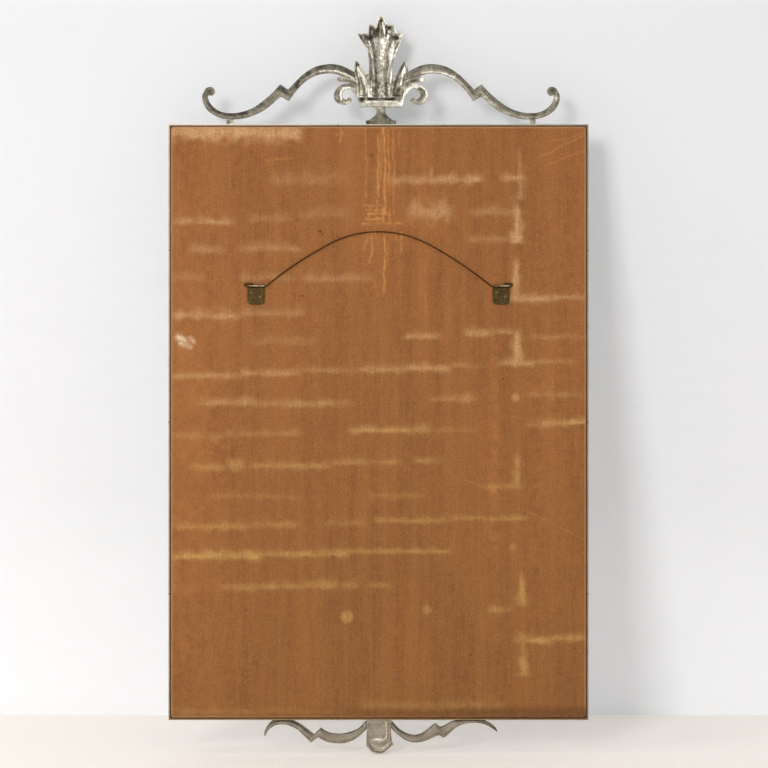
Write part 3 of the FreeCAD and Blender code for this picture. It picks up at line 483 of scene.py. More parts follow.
def store(mesh, name, values):
    """Keep a value at each point for the material."""
    layer = mesh.attributes.new(name, "FLOAT", "POINT")
    layer.data.foreach_set("value", np.asarray(values, dtype=np.float32))


def segment_distance(x, y, start, end):
    """Distance of points from a straight stretch, in pixels."""
    across = np.array([end[0] - start[0], end[1] - start[1]], dtype=float)
    share = ((x - start[0]) * across[0] + (y - start[1]) * across[1]) / (across @ across)
    share = np.clip(share, 0, 1)
    return np.hypot(x - start[0] - share * across[0], y - start[1] - share * across[1])


def line_share(x, y, route, half):
    """1 on a line of the photograph, falling off over its half width."""
    away = np.inf
    for start, end in zip(route, route[1:]):
        away = np.minimum(away, segment_distance(x, y, start, end))
    return bell(away, 0, half)


# Ribs, highlights and grooves of the castings, left and right as in the photograph: half width,
# rise or sink in millimetres, brighter or darker, and the points of the line.
# Their brighter and darker tones are mostly painted highlight and painted shade.
CAST_LINES = (
    # The pale rims of the petals, painted highlights.
    (0.85, 0, 0.42, (358.6, 33.6), (368.4, 33.6), (369, 27), (370.2, 24), (373.6, 25.6), (376, 27.6)),
    (0.85, 0, 0.5, (376, 27.4), (378, 20.6), (380.8, 14.6), (383, 18.4), (385.2, 21.8), (388.4, 24.6),
     (393.6, 24.6)),
    (0.85, 0, 0.42, (393.6, 24.6), (395.2, 29.4), (396, 32.8), (403.4, 34.6)),
    (0.7, 0, 0.16, (403.2, 35), (399.8, 43), (396.4, 50), (394.6, 56)),
    # The palmette's ribs on the left, painted highlights, and a groove in painted shade.
    (1, 0.55, 0.62, (369, 41), (371.2, 45.7), (372.4, 51), (372.9, 57)),
    (0.8, 0.35, 0.4, (373.8, 38.8), (375.6, 44), (376.4, 48.5)),
    (0.6, 0.3, 0.22, (364.2, 37.5), (366, 41.5), (368.6, 46.5)),
    (1.3, 0.15, 0.14, (373, 57), (373.8, 68), (374, 78)),
    (1, -0.25, -0.2, (366.8, 42.5), (369.4, 50), (370.4, 60), (370.8, 80)),
    # Painted highlights, and grooves in painted shade, in and beside the middle petal.
    (0.9, 0.4, 0.62, (382.3, 22), (383.6, 28.5), (384.6, 33.5)), (1.2, 0.1, 0.24, (384.6, 28), (385, 34)),
    (1.15, 0.5, 0.7, (389.9, 29.6), (388.3, 33.8), (387.7, 38), (388.2, 41.8)),
    (0.7, -0.5, -0.5, (385.9, 25.5), (386.9, 30), (386, 35.5)),
    (0.8, -0.4, -0.4, (378.7, 24), (378.9, 35)), (0.6, 0.3, 0.3, (380.4, 25), (380.8, 33)),
    (0.9, -0.4, -0.38, (374.4, 27), (375.6, 36)),
    # The ribs and broad bar on the right are painted highlights; the last two lines paint only tone.
    (1.35, 0.55, 0.68, (401.2, 35.6), (397.4, 41), (394.3, 46.5), (392.6, 52), (391.7, 58)),
    (1.5, 0.45, 0.56, (391.7, 57), (391.2, 68), (390.6, 80), (389.2, 91)),
    (0.9, 0.35, 0.36, (394.3, 41.6), (390.6, 47.5), (388.9, 52), (388.4, 60)),
    (0.8, 0.1, 0.14, (385.5, 54.5), (385.1, 62.5)),
    (0.7, -0.25, -0.06, (388.2, 58), (387.6, 76), (386.8, 90)),
    (2, 0, 0.16, (379, 48), (378.6, 70), (378.4, 93)), (1.4, 0, -0.18, (382.8, 74), (382.4, 94)),
    # The leaf on the left, a painted highlight and lines of painted shade.
    (1.55, 0.45, 1, (359.8, 66), (362.6, 73.4), (365.6, 81.8), (367.8, 90.5), (369.2, 95.6)),
    (1, -0.2, -0.2, (357, 63), (355.2, 69.5), (355, 76)), (0.9, 0.1, 0.25, (358.4, 70.5), (359.9, 75)),
    (1.1, -0.2, -0.18, (361, 77), (364, 88), (365.6, 95)),
    # The leaf on the right, painted highlights and a line of painted shade.
    (1.9, 0.3, 1.1, (406.7, 62.3), (405.6, 67), (403.6, 73.2)),
    (0.9, 0.2, 0.3, (403.4, 73), (402.5, 78), (400.8, 84.5)),
    (1.5, -0.25, -0.24, (405.4, 60.6), (400.6, 67), (396.4, 75), (393.8, 84)),
    # The rim that runs from the volute down to the tray on the right, a painted highlight.
    (2.1, 0.4, 1.15, (417.3, 85.9), (413.5, 85.6), (409, 88.4), (406, 93), (403.9, 98.6), (402.4, 103.4)),
    # The volutes: painted highlights on their rims and painted shade inside.
    (1.2, 0.25, 0.8, (417.3, 85.9), (422.4, 86), (425.6, 88.4), (426.9, 91.8), (426.4, 96), (424.6, 99.4)),
    (0.9, 0.25, 0.6, (423.6, 100.8), (419.5, 102), (415.8, 100.9)),
    (1.2, -0.3, -0.3, (419.8, 87.6), (422.4, 90.8), (422.2, 95.5), (419.6, 98.4)),
    (1.3, 0.35, 0.75, (354.4, 88.8), (349.2, 86.9), (344.4, 87.3), (341.5, 90.2), (340.4, 94.4),
     (341.6, 98.8)),
    (0.9, 0.2, 0.45, (343.4, 101), (346, 101.9), (349, 101.5)),
    (1.1, -0.2, -0.16, (352.6, 84.6), (346, 83), (340, 84.6), (336.6, 89), (335, 94)),
    (0.8, -0.25, -0.22, (352, 80.8), (345, 79.4), (338.4, 79)),
    # The tray's upper line, a painted highlight.
    (0.7, 0.15, 0.3, (366.6, 101.5), (381, 101), (394, 101.3), (402, 103.3)),
    # The arm on the left: its ridge a painted highlight, its grooves and pits in painted shade.
    (1, 0.1, 0.2, (299.5, 83), (306, 77.6), (313, 73.2), (320, 71)),
    (0.85, 0.2, 0.62, (320, 70.8), (328, 70.2), (336, 70.5), (343.8, 73), (350.2, 76), (354, 79)),
    (1.9, -0.1, -0.16, (318, 65.5), (330, 64), (342, 67), (351, 72.5)),
    (1.6, -0.25, -0.34, (296.4, 85.6), (298.6, 81.8)), (1, -0.15, -0.24, (283, 88), (285.6, 92.4)),
    (0.8, 0.05, 0.2, (279.5, 96.5), (273, 103), (266, 108.5)),
    (1.4, -0.1, -0.12, (213, 108), (222, 112.5), (234, 114), (246, 112.6)),
    # The arm on the right: painted highlights on its ridge, painted shade in its groove.
    (0.9, 0.2, 0.52, (421.8, 72.4), (430, 71.2), (439, 71.7), (446, 73.3), (452.4, 76)),
    (0.7, 0.1, 0.4, (453.6, 78), (455.6, 74.6)),
    (1.8, -0.1, -0.18, (412, 68.6), (424, 64.8), (436, 64), (448, 67)),
    (0.5, 0.05, 0.3, (426, 65.5), (427, 69.5)), (0.5, 0.05, 0.26, (431, 65), (431.6, 69)),
    (0.8, 0.05, 0.14, (497, 103), (508, 110), (521, 114)),
    # The apron's leaf: painted highlights and shade on its rims and lip, its outline in painted shade.
    (0.9, 0.25, 0.62, (385.9, 723), (386.9, 732), (386.4, 740)),
    (0.7, -0.2, -0.42, (389.9, 724), (390.9, 734), (390.6, 742)),
    (0.7, -0.1, -0.34, (368.4, 725), (367.6, 736), (368, 744)),
    (0.7, 0.1, 0.16, (370.9, 726), (370.4, 737)),
    (0.9, 0.2, 0.34, (373, 741.6), (378, 740.8), (383, 741.8), (386.6, 738.6)),
    (0.7, -0.1, -0.42, (369.4, 746), (374, 751.4), (381, 753), (387, 750), (391.4, 744)),
    (0.8, 0.1, 0.2, (372, 746), (376.6, 750), (383, 750.4), (388, 746)),
    # The apron's arms: upper outlines in painted shade and a pale middle.
    (0.8, -0.1, -0.42, (271, 724.4), (280, 721.4), (291, 721.8), (300, 726), (309, 733.6)),
    (0.7, -0.1, -0.32, (310.5, 735), (318.6, 729), (326, 732), (338, 735), (350, 734), (362, 727)),
    (0.7, -0.1, -0.34, (392, 722.6), (398, 730), (408, 735.6), (420, 735), (434, 726)),
    (0.8, -0.1, -0.36, (441, 727.6), (452, 721.8), (468, 720.6), (482, 722), (496, 730)),
)
# Pockets and patches: centre, half width, half height, rise or sink, brighter or darker.
# The darker tones paint shade into the pockets, the brighter ones paint highlights onto the patches.
CAST_SPOTS = (
    (367.6, 37.6, 2.9, 1.9, -1.1, -0.7), (371.6, 31.5, 1.9, 4.6, -0.9, -0.4),
    (376.9, 30.5, 1.5, 4.8, -0.8, -0.42), (381.2, 20.6, 0.9, 2.4, -0.9, -0.62),
    (381.9, 31, 1.3, 3.6, -0.5, -0.2), (395.6, 37.4, 3.6, 1.6, -1, -0.62),
    (389.3, 27.6, 1.6, 1.7, -0.7, -0.48), (393.3, 31.4, 1.8, 2.6, 0.1, 0.12),
    (378.6, 40.2, 4.6, 2.3, 0.15, 0.34), (384.6, 44.6, 2.2, 2.6, 0, 0.14),
    (380.2, 50, 4.2, 5, -0.1, -0.04), (377.5, 64, 2.8, 4, 0, 0.08), (378.4, 87, 1.2, 2.2, -0.2, -0.08),
    (386.6, 86, 1.5, 2.4, -0.2, -0.06), (380, 79.2, 2.4, 3.2, 0.1, 0.04),
    (373.6, 84, 1.2, 1.8, -0.2, -0.12), (382.4, 91.6, 1.8, 1.4, 0.1, -0.08),
    (375, 92.6, 1.6, 1.2, 0, -0.08), (361.4, 91.4, 1.6, 2.2, 0, 0.14), (358, 84.8, 1.2, 2, 0, -0.18),
    (399, 88.6, 1.8, 2.6, -0.1, -0.22), (403.6, 88, 1.4, 2.6, 0, 0.18), (396, 93.4, 2.2, 1.6, -0.2, -0.26),
    (422.2, 79.6, 2.3, 2.6, 0.1, 0.5), (413.6, 80.4, 3.2, 1.6, -0.2, -0.3),
    (341.6, 78.6, 1.8, 1.2, 0, 0.2), (362.2, 99.4, 2.2, 1.8, -0.6, -0.75), (381, 98.6, 3, 0.9, 0.1, 0.25),
    (368, 121, 2.4, 2, 0, -0.16), (379.6, 741.2, 2.9, 1.7, 0.15, 0.46), (208.4, 90.6, 3.8, 3.8, 0, -0.38),
    (553.4, 89.4, 3.8, 3.8, 0, -0.44), (377, 731, 5, 7, -0.25, 0.02), (307, 738, 3, 2, 0, -0.08),
    (379, 748, 4, 2, 0, 0.06),
)
# The lines' widths and tones are drawn at these shares, and looked for this far from their points.
MARK_WIDTH = 0.88
MARK_STRENGTH = 0.64
LINE_REACH = 6


def photo_marks(places):
    """Rise along Y, and the shift of tone that paints highlights and shade, given by the castings' marks
    at each point.
    """
    x, y = photo_pixels(places)
    rise = np.zeros(len(x))
    highlight_and_shade = np.zeros(len(x))
    grain = MARK_STRENGTH * np.clip(1 + 0.9 * noise_at(places, 420, 41), 0.35, 1.3)
    for half, height, brighter, *route in CAST_LINES:
        least = np.min(route, axis=0) - LINE_REACH
        most = np.max(route, axis=0) + LINE_REACH
        near = (x > least[0]) & (x < most[0]) & (y > least[1]) & (y < most[1])
        if near.any():
            share = line_share(x[near], y[near], route, half * MARK_WIDTH)
            rise[near] += height * MM * share
            highlight_and_shade[near] += brighter * share * grain[near]
    for across, level, wide, high, height, brighter in CAST_SPOTS:
        share = bell(x, across, wide) * bell(y, level, high)
        rise += height * MM * share
        highlight_and_shade += brighter * share
    return rise, highlight_and_shade


def near_edge(distance, start, end):
    """1 at an outline, falling to 0 between two distances in millimetres."""
    return 1 - smooth_step(distance, start * MM, end * MM)


def facing(slopes):
    """1 where normals point this way along Y, 0 where they point sideways or away."""
    return smooth_step(slopes, 0.1, 0.55)


# How bright the fronts are, and how far they fall away at their outlines.
FRONT_TONE = 0.6
FRONT_FALL = 0.7 * MM


def rounded_front(places, distance):
    """A casting's front falls away towards its outline, where it is also worn brighter."""
    return FRONT_FALL * near_edge(distance, 0, 2.4), FRONT_TONE + 0.16 * near_edge(distance, 0.1, 1)


def plain_front(places, distance):
    """A flat front of even tone."""
    return 0, FRONT_TONE


# The castings' finest step, and the depth of their waves and pits.
CAST_VOXEL = 0.3 * MM
CAST_WAVE = 0.06 * MM
CAST_PITS = 0.3 * MM


def cast_piece(node, relief, base, material, front=rounded_front, prisms=()):
    """A casting in a node's place. Relief and front give its points' moves along Y and their tone."""
    mesh = even_mesh(node, CAST_VOXEL, 1, prisms)
    places, normals = read_points(mesh)
    low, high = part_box(node)
    for corners, _, _ in prisms:
        for corner in corners:
            x, z = photo_place(*corner)
            low = Vector((min(low.x, x), low.y, min(low.z, z)))
            high = Vector((max(high.x, x), high.y, max(high.z, z)))
    places = fill_box(places, np.array(low), np.array(high))
    distance = rim_distance(places, normals)
    back = facing(normals[:, 1])
    move, tone = relief(base, places, normals, distance)
    rise, highlight_and_shade = photo_marks(places)
    wave = noise_at(places, 190, len(node)) * CAST_WAVE
    pits = np.minimum(noise_at(places, 620, len(node) + 1) + 0.42, 0) * CAST_PITS
    moved = places + normals * (wave + pits * back)[:, None]
    fall, front_tone = front(places, distance)
    moved[:, 1] += (move + rise) * back + fall * facing(-normals[:, 1])
    set_points(mesh, moved, low, high)
    # The tone mixes patina and wear with painted highlights and shade from the relief and the marks.
    blended = front_tone + (tone + highlight_and_shade - front_tone) * back
    store(mesh, "tone", np.clip(blended, 0, 1.3))
    stand_for(node, f"{node}_casting", mesh, material)


def strip_relief(base, places, normals, distance):
    """A scroll: painted shade on the band above its ridge, painted light on the one below and a painted
    dark outline.
    """
    top = places[:, 1].max()
    ridge = smooth_step(places[:, 1], top - 0.35 * MM, top - 0.05 * MM)
    # Painted shade on faces that point up, painted light on faces that point down, and a painted dark
    # outline.
    tone = base - 0.13 * smooth_step(normals[:, 2], 0.02, 0.2)
    tone += 0.07 * smooth_step(-normals[:, 2], 0.02, 0.2)
    tone += 0.08 * ridge - 0.16 * near_edge(distance, 0.1, 1)
    tone += 0.1 * noise_at(places, 85, 3)
    return -0.1 * MM * bell(distance, 1.6 * MM, 0.7 * MM), tone


def leaf_relief(base, places, normals, distance):
    """A leaf, hollow behind, with a thin rim."""
    low = places[:, 1].min()
    high = places[:, 1].max()
    hollow = smooth_step(distance, 0.6 * MM, 2.8 * MM)
    floor = low + (high - low) * 0.55
    target = high - 0.2 * MM - (high - 0.2 * MM - floor) * hollow
    tone = base + 0.1 * near_edge(distance, 0.2, 1) + 0.12 * noise_at(places, 130, 5)
    return np.minimum(target - places[:, 1], 0), tone + 0.14 * noise_at(places, 380, 15)


def volute_relief(base, places, normals, distance):
    """A C scroll, a little hollow between its rims."""
    middle = smooth_step(distance, 0.4 * MM, 1.8 * MM)
    tone = base - 0.06 * middle + 0.1 * near_edge(distance, 0.2, 0.9)
    return -0.45 * MM * middle, tone + 0.12 * noise_at(places, 120, 6)


def edge_rows(node, rows):
    """Lowest and highest X of a part at evenly spaced heights."""
    low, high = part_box(node)
    places = np.array([vertex.co for vertex in frame["nodes"][node].data.vertices])
    levels = np.linspace(low.z, high.z, rows)
    band = (high.z - low.z) / rows
    near = [places[np.abs(places[:, 2] - level) < band, 0] for level in levels]
    return levels, [row.min() for row in near], [row.max() for row in near]


# The palmette, as shares: its corner level, and across from the photograph's left edge.
CORNER_SHARE = 0.765
PETAL_EDGE_SHARES = (0, 0.235, 0.398, 0.59, 0.8, 1)


def palmette_shares(places):
    """How far up and across each point of the palmette lies, and how far inside its petal."""
    levels, lefts, rights = edge_rows("crest_palmette", 40)
    bottom = levels[0]
    height = levels[-1] - bottom
    corner = bottom + CORNER_SHARE * height
    level = np.minimum(places[:, 2], corner)
    left = np.interp(level, levels, rights)
    right = np.interp(level, levels, lefts)
    across = np.clip((left - places[:, 0]) / (left - right), 0, 1)
    pocket = 0
    for start, end in zip(PETAL_EDGE_SHARES, PETAL_EDGE_SHARES[1:]):
        inside = np.clip((across - start) / (end - start), 0, 1)
        pocket = np.maximum(pocket, 4 * inside * (1 - inside))
    return (places[:, 2] - bottom) / height, across, pocket


def palmette_front(places, distance):
    """In front the petals swell, with a groove between neighbours down to the foot."""
    up, across, pocket = palmette_shares(places)
    groove = (1 - pocket) ** 2 * smooth_step(up, 0.04, 0.3)
    fall, tone = rounded_front(places, distance)
    darker = 0.26 * groove * smooth_step(distance, 0.6 * MM, 2 * MM)
    return np.maximum(0.75 * MM * groove, fall), tone - darker


def palmette_relief(base, places, normals, distance):
    """Behind, five hollow petals over a broad channel between two ribs."""
    up, across, pocket = palmette_shares(places)
    crown = smooth_step(up, CORNER_SHARE - 0.16, CORNER_SHARE - 0.02)
    inner = smooth_step(distance, 0.4 * MM, 1.8 * MM)
    rim = near_edge(distance, 0.2, 1)
    channel = bell(across, 0.48, 0.26) * smooth_step(distance, 0.8 * MM, 4 * MM) * (1 - crown)
    move = -1 * MM * pocket * crown * inner + 0.35 * MM * rim - 0.1 * MM * channel
    lower = 1 - smooth_step(up, 0.02, 0.34)
    # Painted highlights along the rims and painted shade in the petals' hollows.
    tone = base + 0.24 * rim * (0.55 + 0.45 * crown) - 0.14 * pocket * crown * inner
    tone += 0.03 * channel * (1 - lower)
    mottle = noise_at(places, 420, 8)
    tone += (0.15 + 0.3 * lower + 0.12 * crown) * mottle + 0.08 * noise_at(places, 120, 9)
    tone += 0.2 * (1 - crown) * noise_at(places, 820, 10)
    return move, tone


def block_relief(base, places, normals, distance):
    """A plain cast block, a little worn at its edges."""
    return 0, base + 0.16 * near_edge(distance, 0.2, 1.2) + 0.16 * noise_at(places, 210, 9)


def tray_relief(base, places, normals, distance):
    """The tray: a bright lower band under a recess and an upper part in painted shade."""
    low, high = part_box("crest_tray")
    up = (places[:, 2] - low.z) / (high.z - low.z)
    depth = (places[:, 1] - low.y) / (high.y - low.y)
    sunk = 1 - smooth_step(depth, 0.45, 0.9)
    # Painted shade: darker towards the top, under the petals, and deep in the recess.
    tone = base - 0.16 * smooth_step(up, 0.58, 0.78) - 0.24 * sunk
    return 0, tone + 0.1 * noise_at(places, 140, 2)


def foot_relief(base, places, normals, distance):
    """The stem is pale and the bell foot dark, with a painted highlight down its middle."""
    low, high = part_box("crest_foot")
    up = (places[:, 2] - low.z) / (high.z - low.z)
    # Painted highlight: a lighter band down the middle, as light falls on a round foot.
    middle = bell(places[:, 0], (low.x + high.x) / 2, 5.5 * MM)
    tone = base + 0.15 * smooth_step(up, 0.6, 0.78) + 0.09 * middle
    return 0, tone + 0.09 * noise_at(places, 260, 4)


def shell_relief(base, places, normals, distance):
    """The apron's hollow leaf with worn rims."""
    return 0, base + 0.06 * near_edge(distance, 0.3, 1.6) + 0.1 * noise_at(places, 90, 7)


# Where metal closes the wedge between each leaf and the palmette, in pixels and levels of Y.
WEB_LEFT = ((364.6, 75), (369.6, 72.6), (371, 85), (371, 96.6), (368, 96.6), (366.8, 84))
WEB_RIGHT = ((392, 73.4), (396.4, 75.4), (393.6, 84), (391.8, 94), (390, 94), (390.6, 84))
WEB_LEVELS = (-8.6 * MM, -4.9 * MM)
# Where the strip of the arm on the photograph's left rolls over its eye. The other arm's is mirrored.
ROLL = (
    (203.3, 93.4), (203.9, 90.2), (205.5, 87.8), (208, 86.5), (210.6, 86.3), (210.2, 90.6), (206.6, 93.6),
)
ROLL_LEVELS = (-8.7 * MM, -4.7 * MM)
CREST_AXIS_PIXEL = 381
# How bright the castings are, for each side its arm, leaf, volute and peg.
CREST_TONES = {"left": (0.46, 0.4, 0.49, 0.56), "right": (0.37, 0.52, 0.45, 0.44)}
PALMETTE_TONE = 0.53
TRAY_TONE = 0.57
FOOT_TONE = 0.24
APRON_LEAF_TONE = 0.58
APRON_ARM_TONE = 0.48


def build_castings():
    """Every casting of the crest and the apron."""
    cast = MATERIALS["cast"]
    apron = MATERIALS["apron"]
    webs = ((WEB_LEFT, *WEB_LEVELS), (WEB_RIGHT, *WEB_LEVELS))
    cast_piece("crest_palmette", palmette_relief, PALMETTE_TONE, cast, palmette_front, webs)
    cast_piece("crest_tray", tray_relief, TRAY_TONE, cast)
    cast_piece("crest_foot", foot_relief, FOOT_TONE, cast)
    rolls = {"right": ROLL, "left": tuple((2 * CREST_AXIS_PIXEL - x, y) for x, y in ROLL[::-1])}
    for side, (arm, leaf, volute, peg) in CREST_TONES.items():
        cast_piece(f"crest_leaf_{side}", leaf_relief, leaf, cast)
        cast_piece(f"crest_volute_{side}", volute_relief, volute, cast)
        roll = ((rolls[side], *ROLL_LEVELS),)
        cast_piece(f"crest_arm_{side}", strip_relief, arm, cast, prisms=roll)
        cast_piece(f"crest_peg_{side}", block_relief, peg, cast, plain_front)
        cast_piece(f"apron_arm_{side}", strip_relief, APRON_ARM_TONE, apron)
    cast_piece("apron_leaf", shell_relief, APRON_LEAF_TONE, apron)


STRAP_VOXEL = 0.24 * MM


def build_strap(node):
    """A brass strap, with a painted highlight along the top of its roll."""
    mesh = even_mesh(node, STRAP_VOXEL, 2)
    places, normals = read_points(mesh)
    low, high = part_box(node)
    wave = noise_at(places, 300, 11) * 0.05 * MM
    set_points(mesh, places + normals * wave[:, None], low, high)
    # Painted highlight: a pale band along the top of the roll, on its faces that point back.
    roll = bell(places[:, 2], high.z - 1 * MM, 0.62 * MM) * smooth_step(normals[:, 1], 0.1, 0.6)
    roll *= np.clip(0.85 + 0.5 * noise_at(places, 260, 13), 0.3, 1.1)
    store(mesh, "tone", np.clip(roll + 0.15 * noise_at(places, 420, 12), 0, 1))
    stand_for(node, f"{node}_strap", mesh, MATERIALS["aged_brass"])


# Marks on the board. Streaks: level, start, end, half height, strength.
STREAKS = (
    (133, 168, 300, 6, 0.88), (131, 168, 230, 4, 0.6), (181, 270, 345, 4.5, 0.26), (181, 388, 430, 3, 0.4),
    (180, 430, 482, 2.6, 0.72), (178, 503, 524, 2.5, 0.6), (213, 410, 452, 5.5, 0.6),
    (212, 470, 520, 3, 0.34), (222, 175, 232, 2.2, 0.55), (219, 250, 290, 3, 0.22),
    (215, 300, 350, 4, 0.18), (250, 190, 222, 3.2, 0.36), (249, 238, 300, 2.6, 0.36),
    (240, 470, 520, 2.5, 0.3), (278, 168, 205, 3, 0.22), (278, 240, 292, 2.6, 0.3),
    (279, 305, 372, 2.6, 0.4), (299, 505, 550, 2.4, 0.7), (298, 550, 586, 1.8, 0.45),
    (316, 174, 240, 2.6, 0.68), (314, 240, 305, 2.4, 0.36), (342, 250, 320, 3, 0.22),
    (337, 405, 440, 2, 0.62), (334, 466, 492, 2.6, 0.72), (333, 493, 516, 1.8, 0.5),
    (337, 530, 586, 1.8, 0.3), (364, 500, 536, 2.2, 0.85), (362, 536, 572, 1.6, 0.45),
    (369, 405, 450, 2.4, 0.7), (366, 450, 482, 1.8, 0.4), (370, 360, 405, 2.4, 0.6),
    (376, 170, 240, 2.4, 0.62), (374, 240, 300, 2.2, 0.6), (371, 300, 355, 2, 0.42),
    (403, 200, 260, 2.6, 0.7), (404, 262, 350, 2.4, 0.62), (399, 430, 460, 2.2, 0.48),
    (400, 455, 475, 3, 0.62), (395, 525, 587, 1.8, 0.42), (425, 528, 545, 2.4, 0.66),
    (423, 540, 587, 2, 1.2), (437, 172, 225, 2.4, 0.36), (434, 225, 300, 2.2, 0.46),
    (431, 350, 412, 2, 0.78), (430, 412, 430, 3, 0.8), (431, 430, 475, 1.8, 0.28),
    (468, 188, 228, 2.4, 0.62), (465, 228, 245, 3.6, 0.8), (466, 250, 330, 2.2, 0.72),
    (463, 330, 400, 2, 0.54), (461, 415, 441, 2.2, 0.58), (497, 210, 250, 2.2, 0.34),
    (497, 252, 300, 2, 0.28), (496, 370, 422, 2.2, 0.3), (521, 375, 450, 2, 0.7),
    (519, 450, 527, 1.8, 0.58), (527, 176, 250, 2.6, 0.62), (525, 250, 298, 2.4, 0.56),
    (524, 325, 370, 2.4, 0.4), (487, 486, 522, 1.8, 0.66), (557, 168, 262, 2.9, 1.05),
    (554.5, 222, 348, 2.1, 0.92), (552, 316, 450, 1.6, 0.72), (588, 220, 270, 2.6, 0.52),
    (587, 255, 305, 2.2, 0.7), (585, 305, 356, 2.6, 0.7), (585, 368, 392, 2.2, 0.46),
    (611, 488, 510, 2.2, 0.66), (641, 516, 550, 2.8, 1.15), (638, 550, 586, 2.2, 0.95),
    (707, 360, 505, 3, 0.45), (712, 172, 340, 2, 0.35),
)
# Upright marks: across, start level, end level, half width at the foot, strength.
UPRIGHTS = (
    (517, 205, 243, 5, 0.85), (516, 262, 301, 4.4, 0.72), (517, 333, 366, 5.2, 1.08),
    (517, 455, 489, 4.2, 0.72), (522, 576, 606, 3.8, 0.85), (524, 640, 676, 4.4, 0.92),
    (520, 150, 200, 3, 0.32), (553, 380, 400, 2.5, 0.3), (432, 168, 184, 3.4, 0.4),
    (447, 210, 222, 3, 0.4),
)
# Round marks: across, level, radius, strength.
BLOBS = (
    (515.5, 397.5, 5.2, 0.78), (347, 617, 8, 0.8), (235, 467, 7.5, 0.6), (325, 585, 6.5, 0.6),
    (427, 610, 6, 0.62), (519, 238, 6, 0.72), (420, 430.5, 4.6, 0.6), (372, 370, 5.4, 0.55),
    (477, 334, 5, 0.6), (468, 400, 4.6, 0.5), (422, 337, 4, 0.45), (513, 547, 4.2, 0.5),
    (500, 610, 4, 0.45), (553, 641, 4.6, 0.4), (442, 369, 4.4, 0.45), (440, 180, 5, 0.45),
    (420, 214, 5.5, 0.4), (386, 585, 3.6, 0.4),
)
# A pale rubbed smear: half width, strength and points of its strokes.
SMEAR = (
    (3, 1, (178, 337), (184, 340), (189, 346)), (2.4, 0.9, (181, 343), (190, 347)),
    (2, 0.6, (190, 338), (194, 342)),
)
# Thin orange runs under the crest and old scratches: half width, strength and points.
RUNS = (
    (0.6, 0.5, (366, 127), (366.4, 160), (366, 197)), (0.9, 0.75, (378, 134), (378.4, 168), (378, 196)),
    (0.6, 0.6, (381, 130), (381, 172), (379, 190)), (1, 0.85, (384, 128), (385, 165), (385, 214)),
    (0.7, 0.62, (388, 130), (388.6, 160), (389, 186)), (0.7, 0.52, (393, 128), (393.6, 150), (393, 214)),
    (0.6, 0.35, (399, 132), (398, 146)), (0.8, 0.6, (363, 205), (372, 205.4), (382, 205)),
    (0.7, 0.7, (366, 210), (384, 210.4)), (0.9, 0.8, (368, 214), (386, 213.6)),
    (0.8, 0.8, (366, 219), (384, 218.6)), (1, 0.6, (362, 223.5), (378, 223), (402, 223.4)),
    (0.8, 0.6, (370, 206), (369, 222)), (0.8, 0.6, (377, 200), (377, 220)),
    (0.9, 0.7, (383, 208), (383, 222)), (0.7, 0.5, (389, 212), (390, 222)),
    (0.7, 0.55, (367, 228), (368, 238), (364, 250)), (0.9, 0.72, (371, 230), (372, 246), (369, 262)),
    (0.7, 0.55, (374, 226), (376, 238)), (0.8, 0.72, (384, 236), (384.6, 262), (384.2, 292)),
    (0.6, 0.45, (387, 244), (388, 266)), (0.6, 0.45, (395, 228), (396, 242)),
    (0.9, 0.5, (401, 232), (402, 240), (401, 252)), (0.6, 0.36, (374, 280), (377, 296)),
    (1.1, 0.62, (340, 127), (342, 134), (340, 141)), (0.8, 0.5, (336, 134), (344, 133)),
    (0.7, 0.3, (276, 144), (284, 144)), (0.7, 0.34, (264, 160), (292, 158)),
    (0.6, 0.45, (538, 158), (560, 147), (586, 134)), (0.6, 0.36, (545, 166), (566, 157), (587, 150)),
    (0.5, 0.4, (548, 142), (570, 138), (587, 131)), (0.5, 0.3, (465, 480), (500, 494)),
    (0.5, 0.32, (520, 508), (550, 522), (585, 540)), (0.8, 0.14, (205, 128), (208, 240)),
    (1, 0.12, (228, 130), (230, 200)), (0.9, 0.16, (178, 160), (178, 260)),
    (0.8, 0.14, (425, 240), (426, 330)),
)
# Dark specks: across, level, radius.
SPECKS = (
    (320, 231, 1.5), (322, 234, 1), (302, 296, 1.2), (371.5, 155.5, 1.2), (560, 402, 0.9), (246, 610, 1),
    (471, 655, 1.1), (297, 220, 0.8), (246, 171, 0.7), (440, 288, 0.8), (536, 365, 0.9), (211, 264, 0.8),
    (503, 379, 0.8), (345, 480, 0.8),
)
# Broad warmer places of the board: across, level, half width, half height, strength.
WARMTH = (
    (184, 420, 40, 240, 0.74), (170, 430, 8, 270, 1), (352, 170, 12, 90, 0.36), (388, 190, 14, 80, 0.5),
    (494, 460, 6, 150, 0.7), (548, 420, 18, 150, 0.45), (300, 330, 8, 120, 0.22), (424, 290, 7, 170, 0.3),
    (430, 215, 30, 22, 0.45), (250, 140, 60, 10, 0.35), (384, 240, 22, 15, 0.75), (316, 380, 5, 150, 0.22),
    (448, 380, 5, 180, 0.22), (575, 300, 9, 200, 0.25), (270, 230, 7, 110, 0.25), (530, 560, 9, 90, 0.25),
)
# Below this level the board's foot is darker, more so on its right.
DARK_FOOT_LEVEL = 703


def strokes(x, y, table, ragged=1):
    """The strongest of a table's lines at each point."""
    strongest = 0
    for half, strength, *route in table:
        strongest = np.maximum(strongest, strength * line_share(x, y, route, half) * ragged)
    return strongest


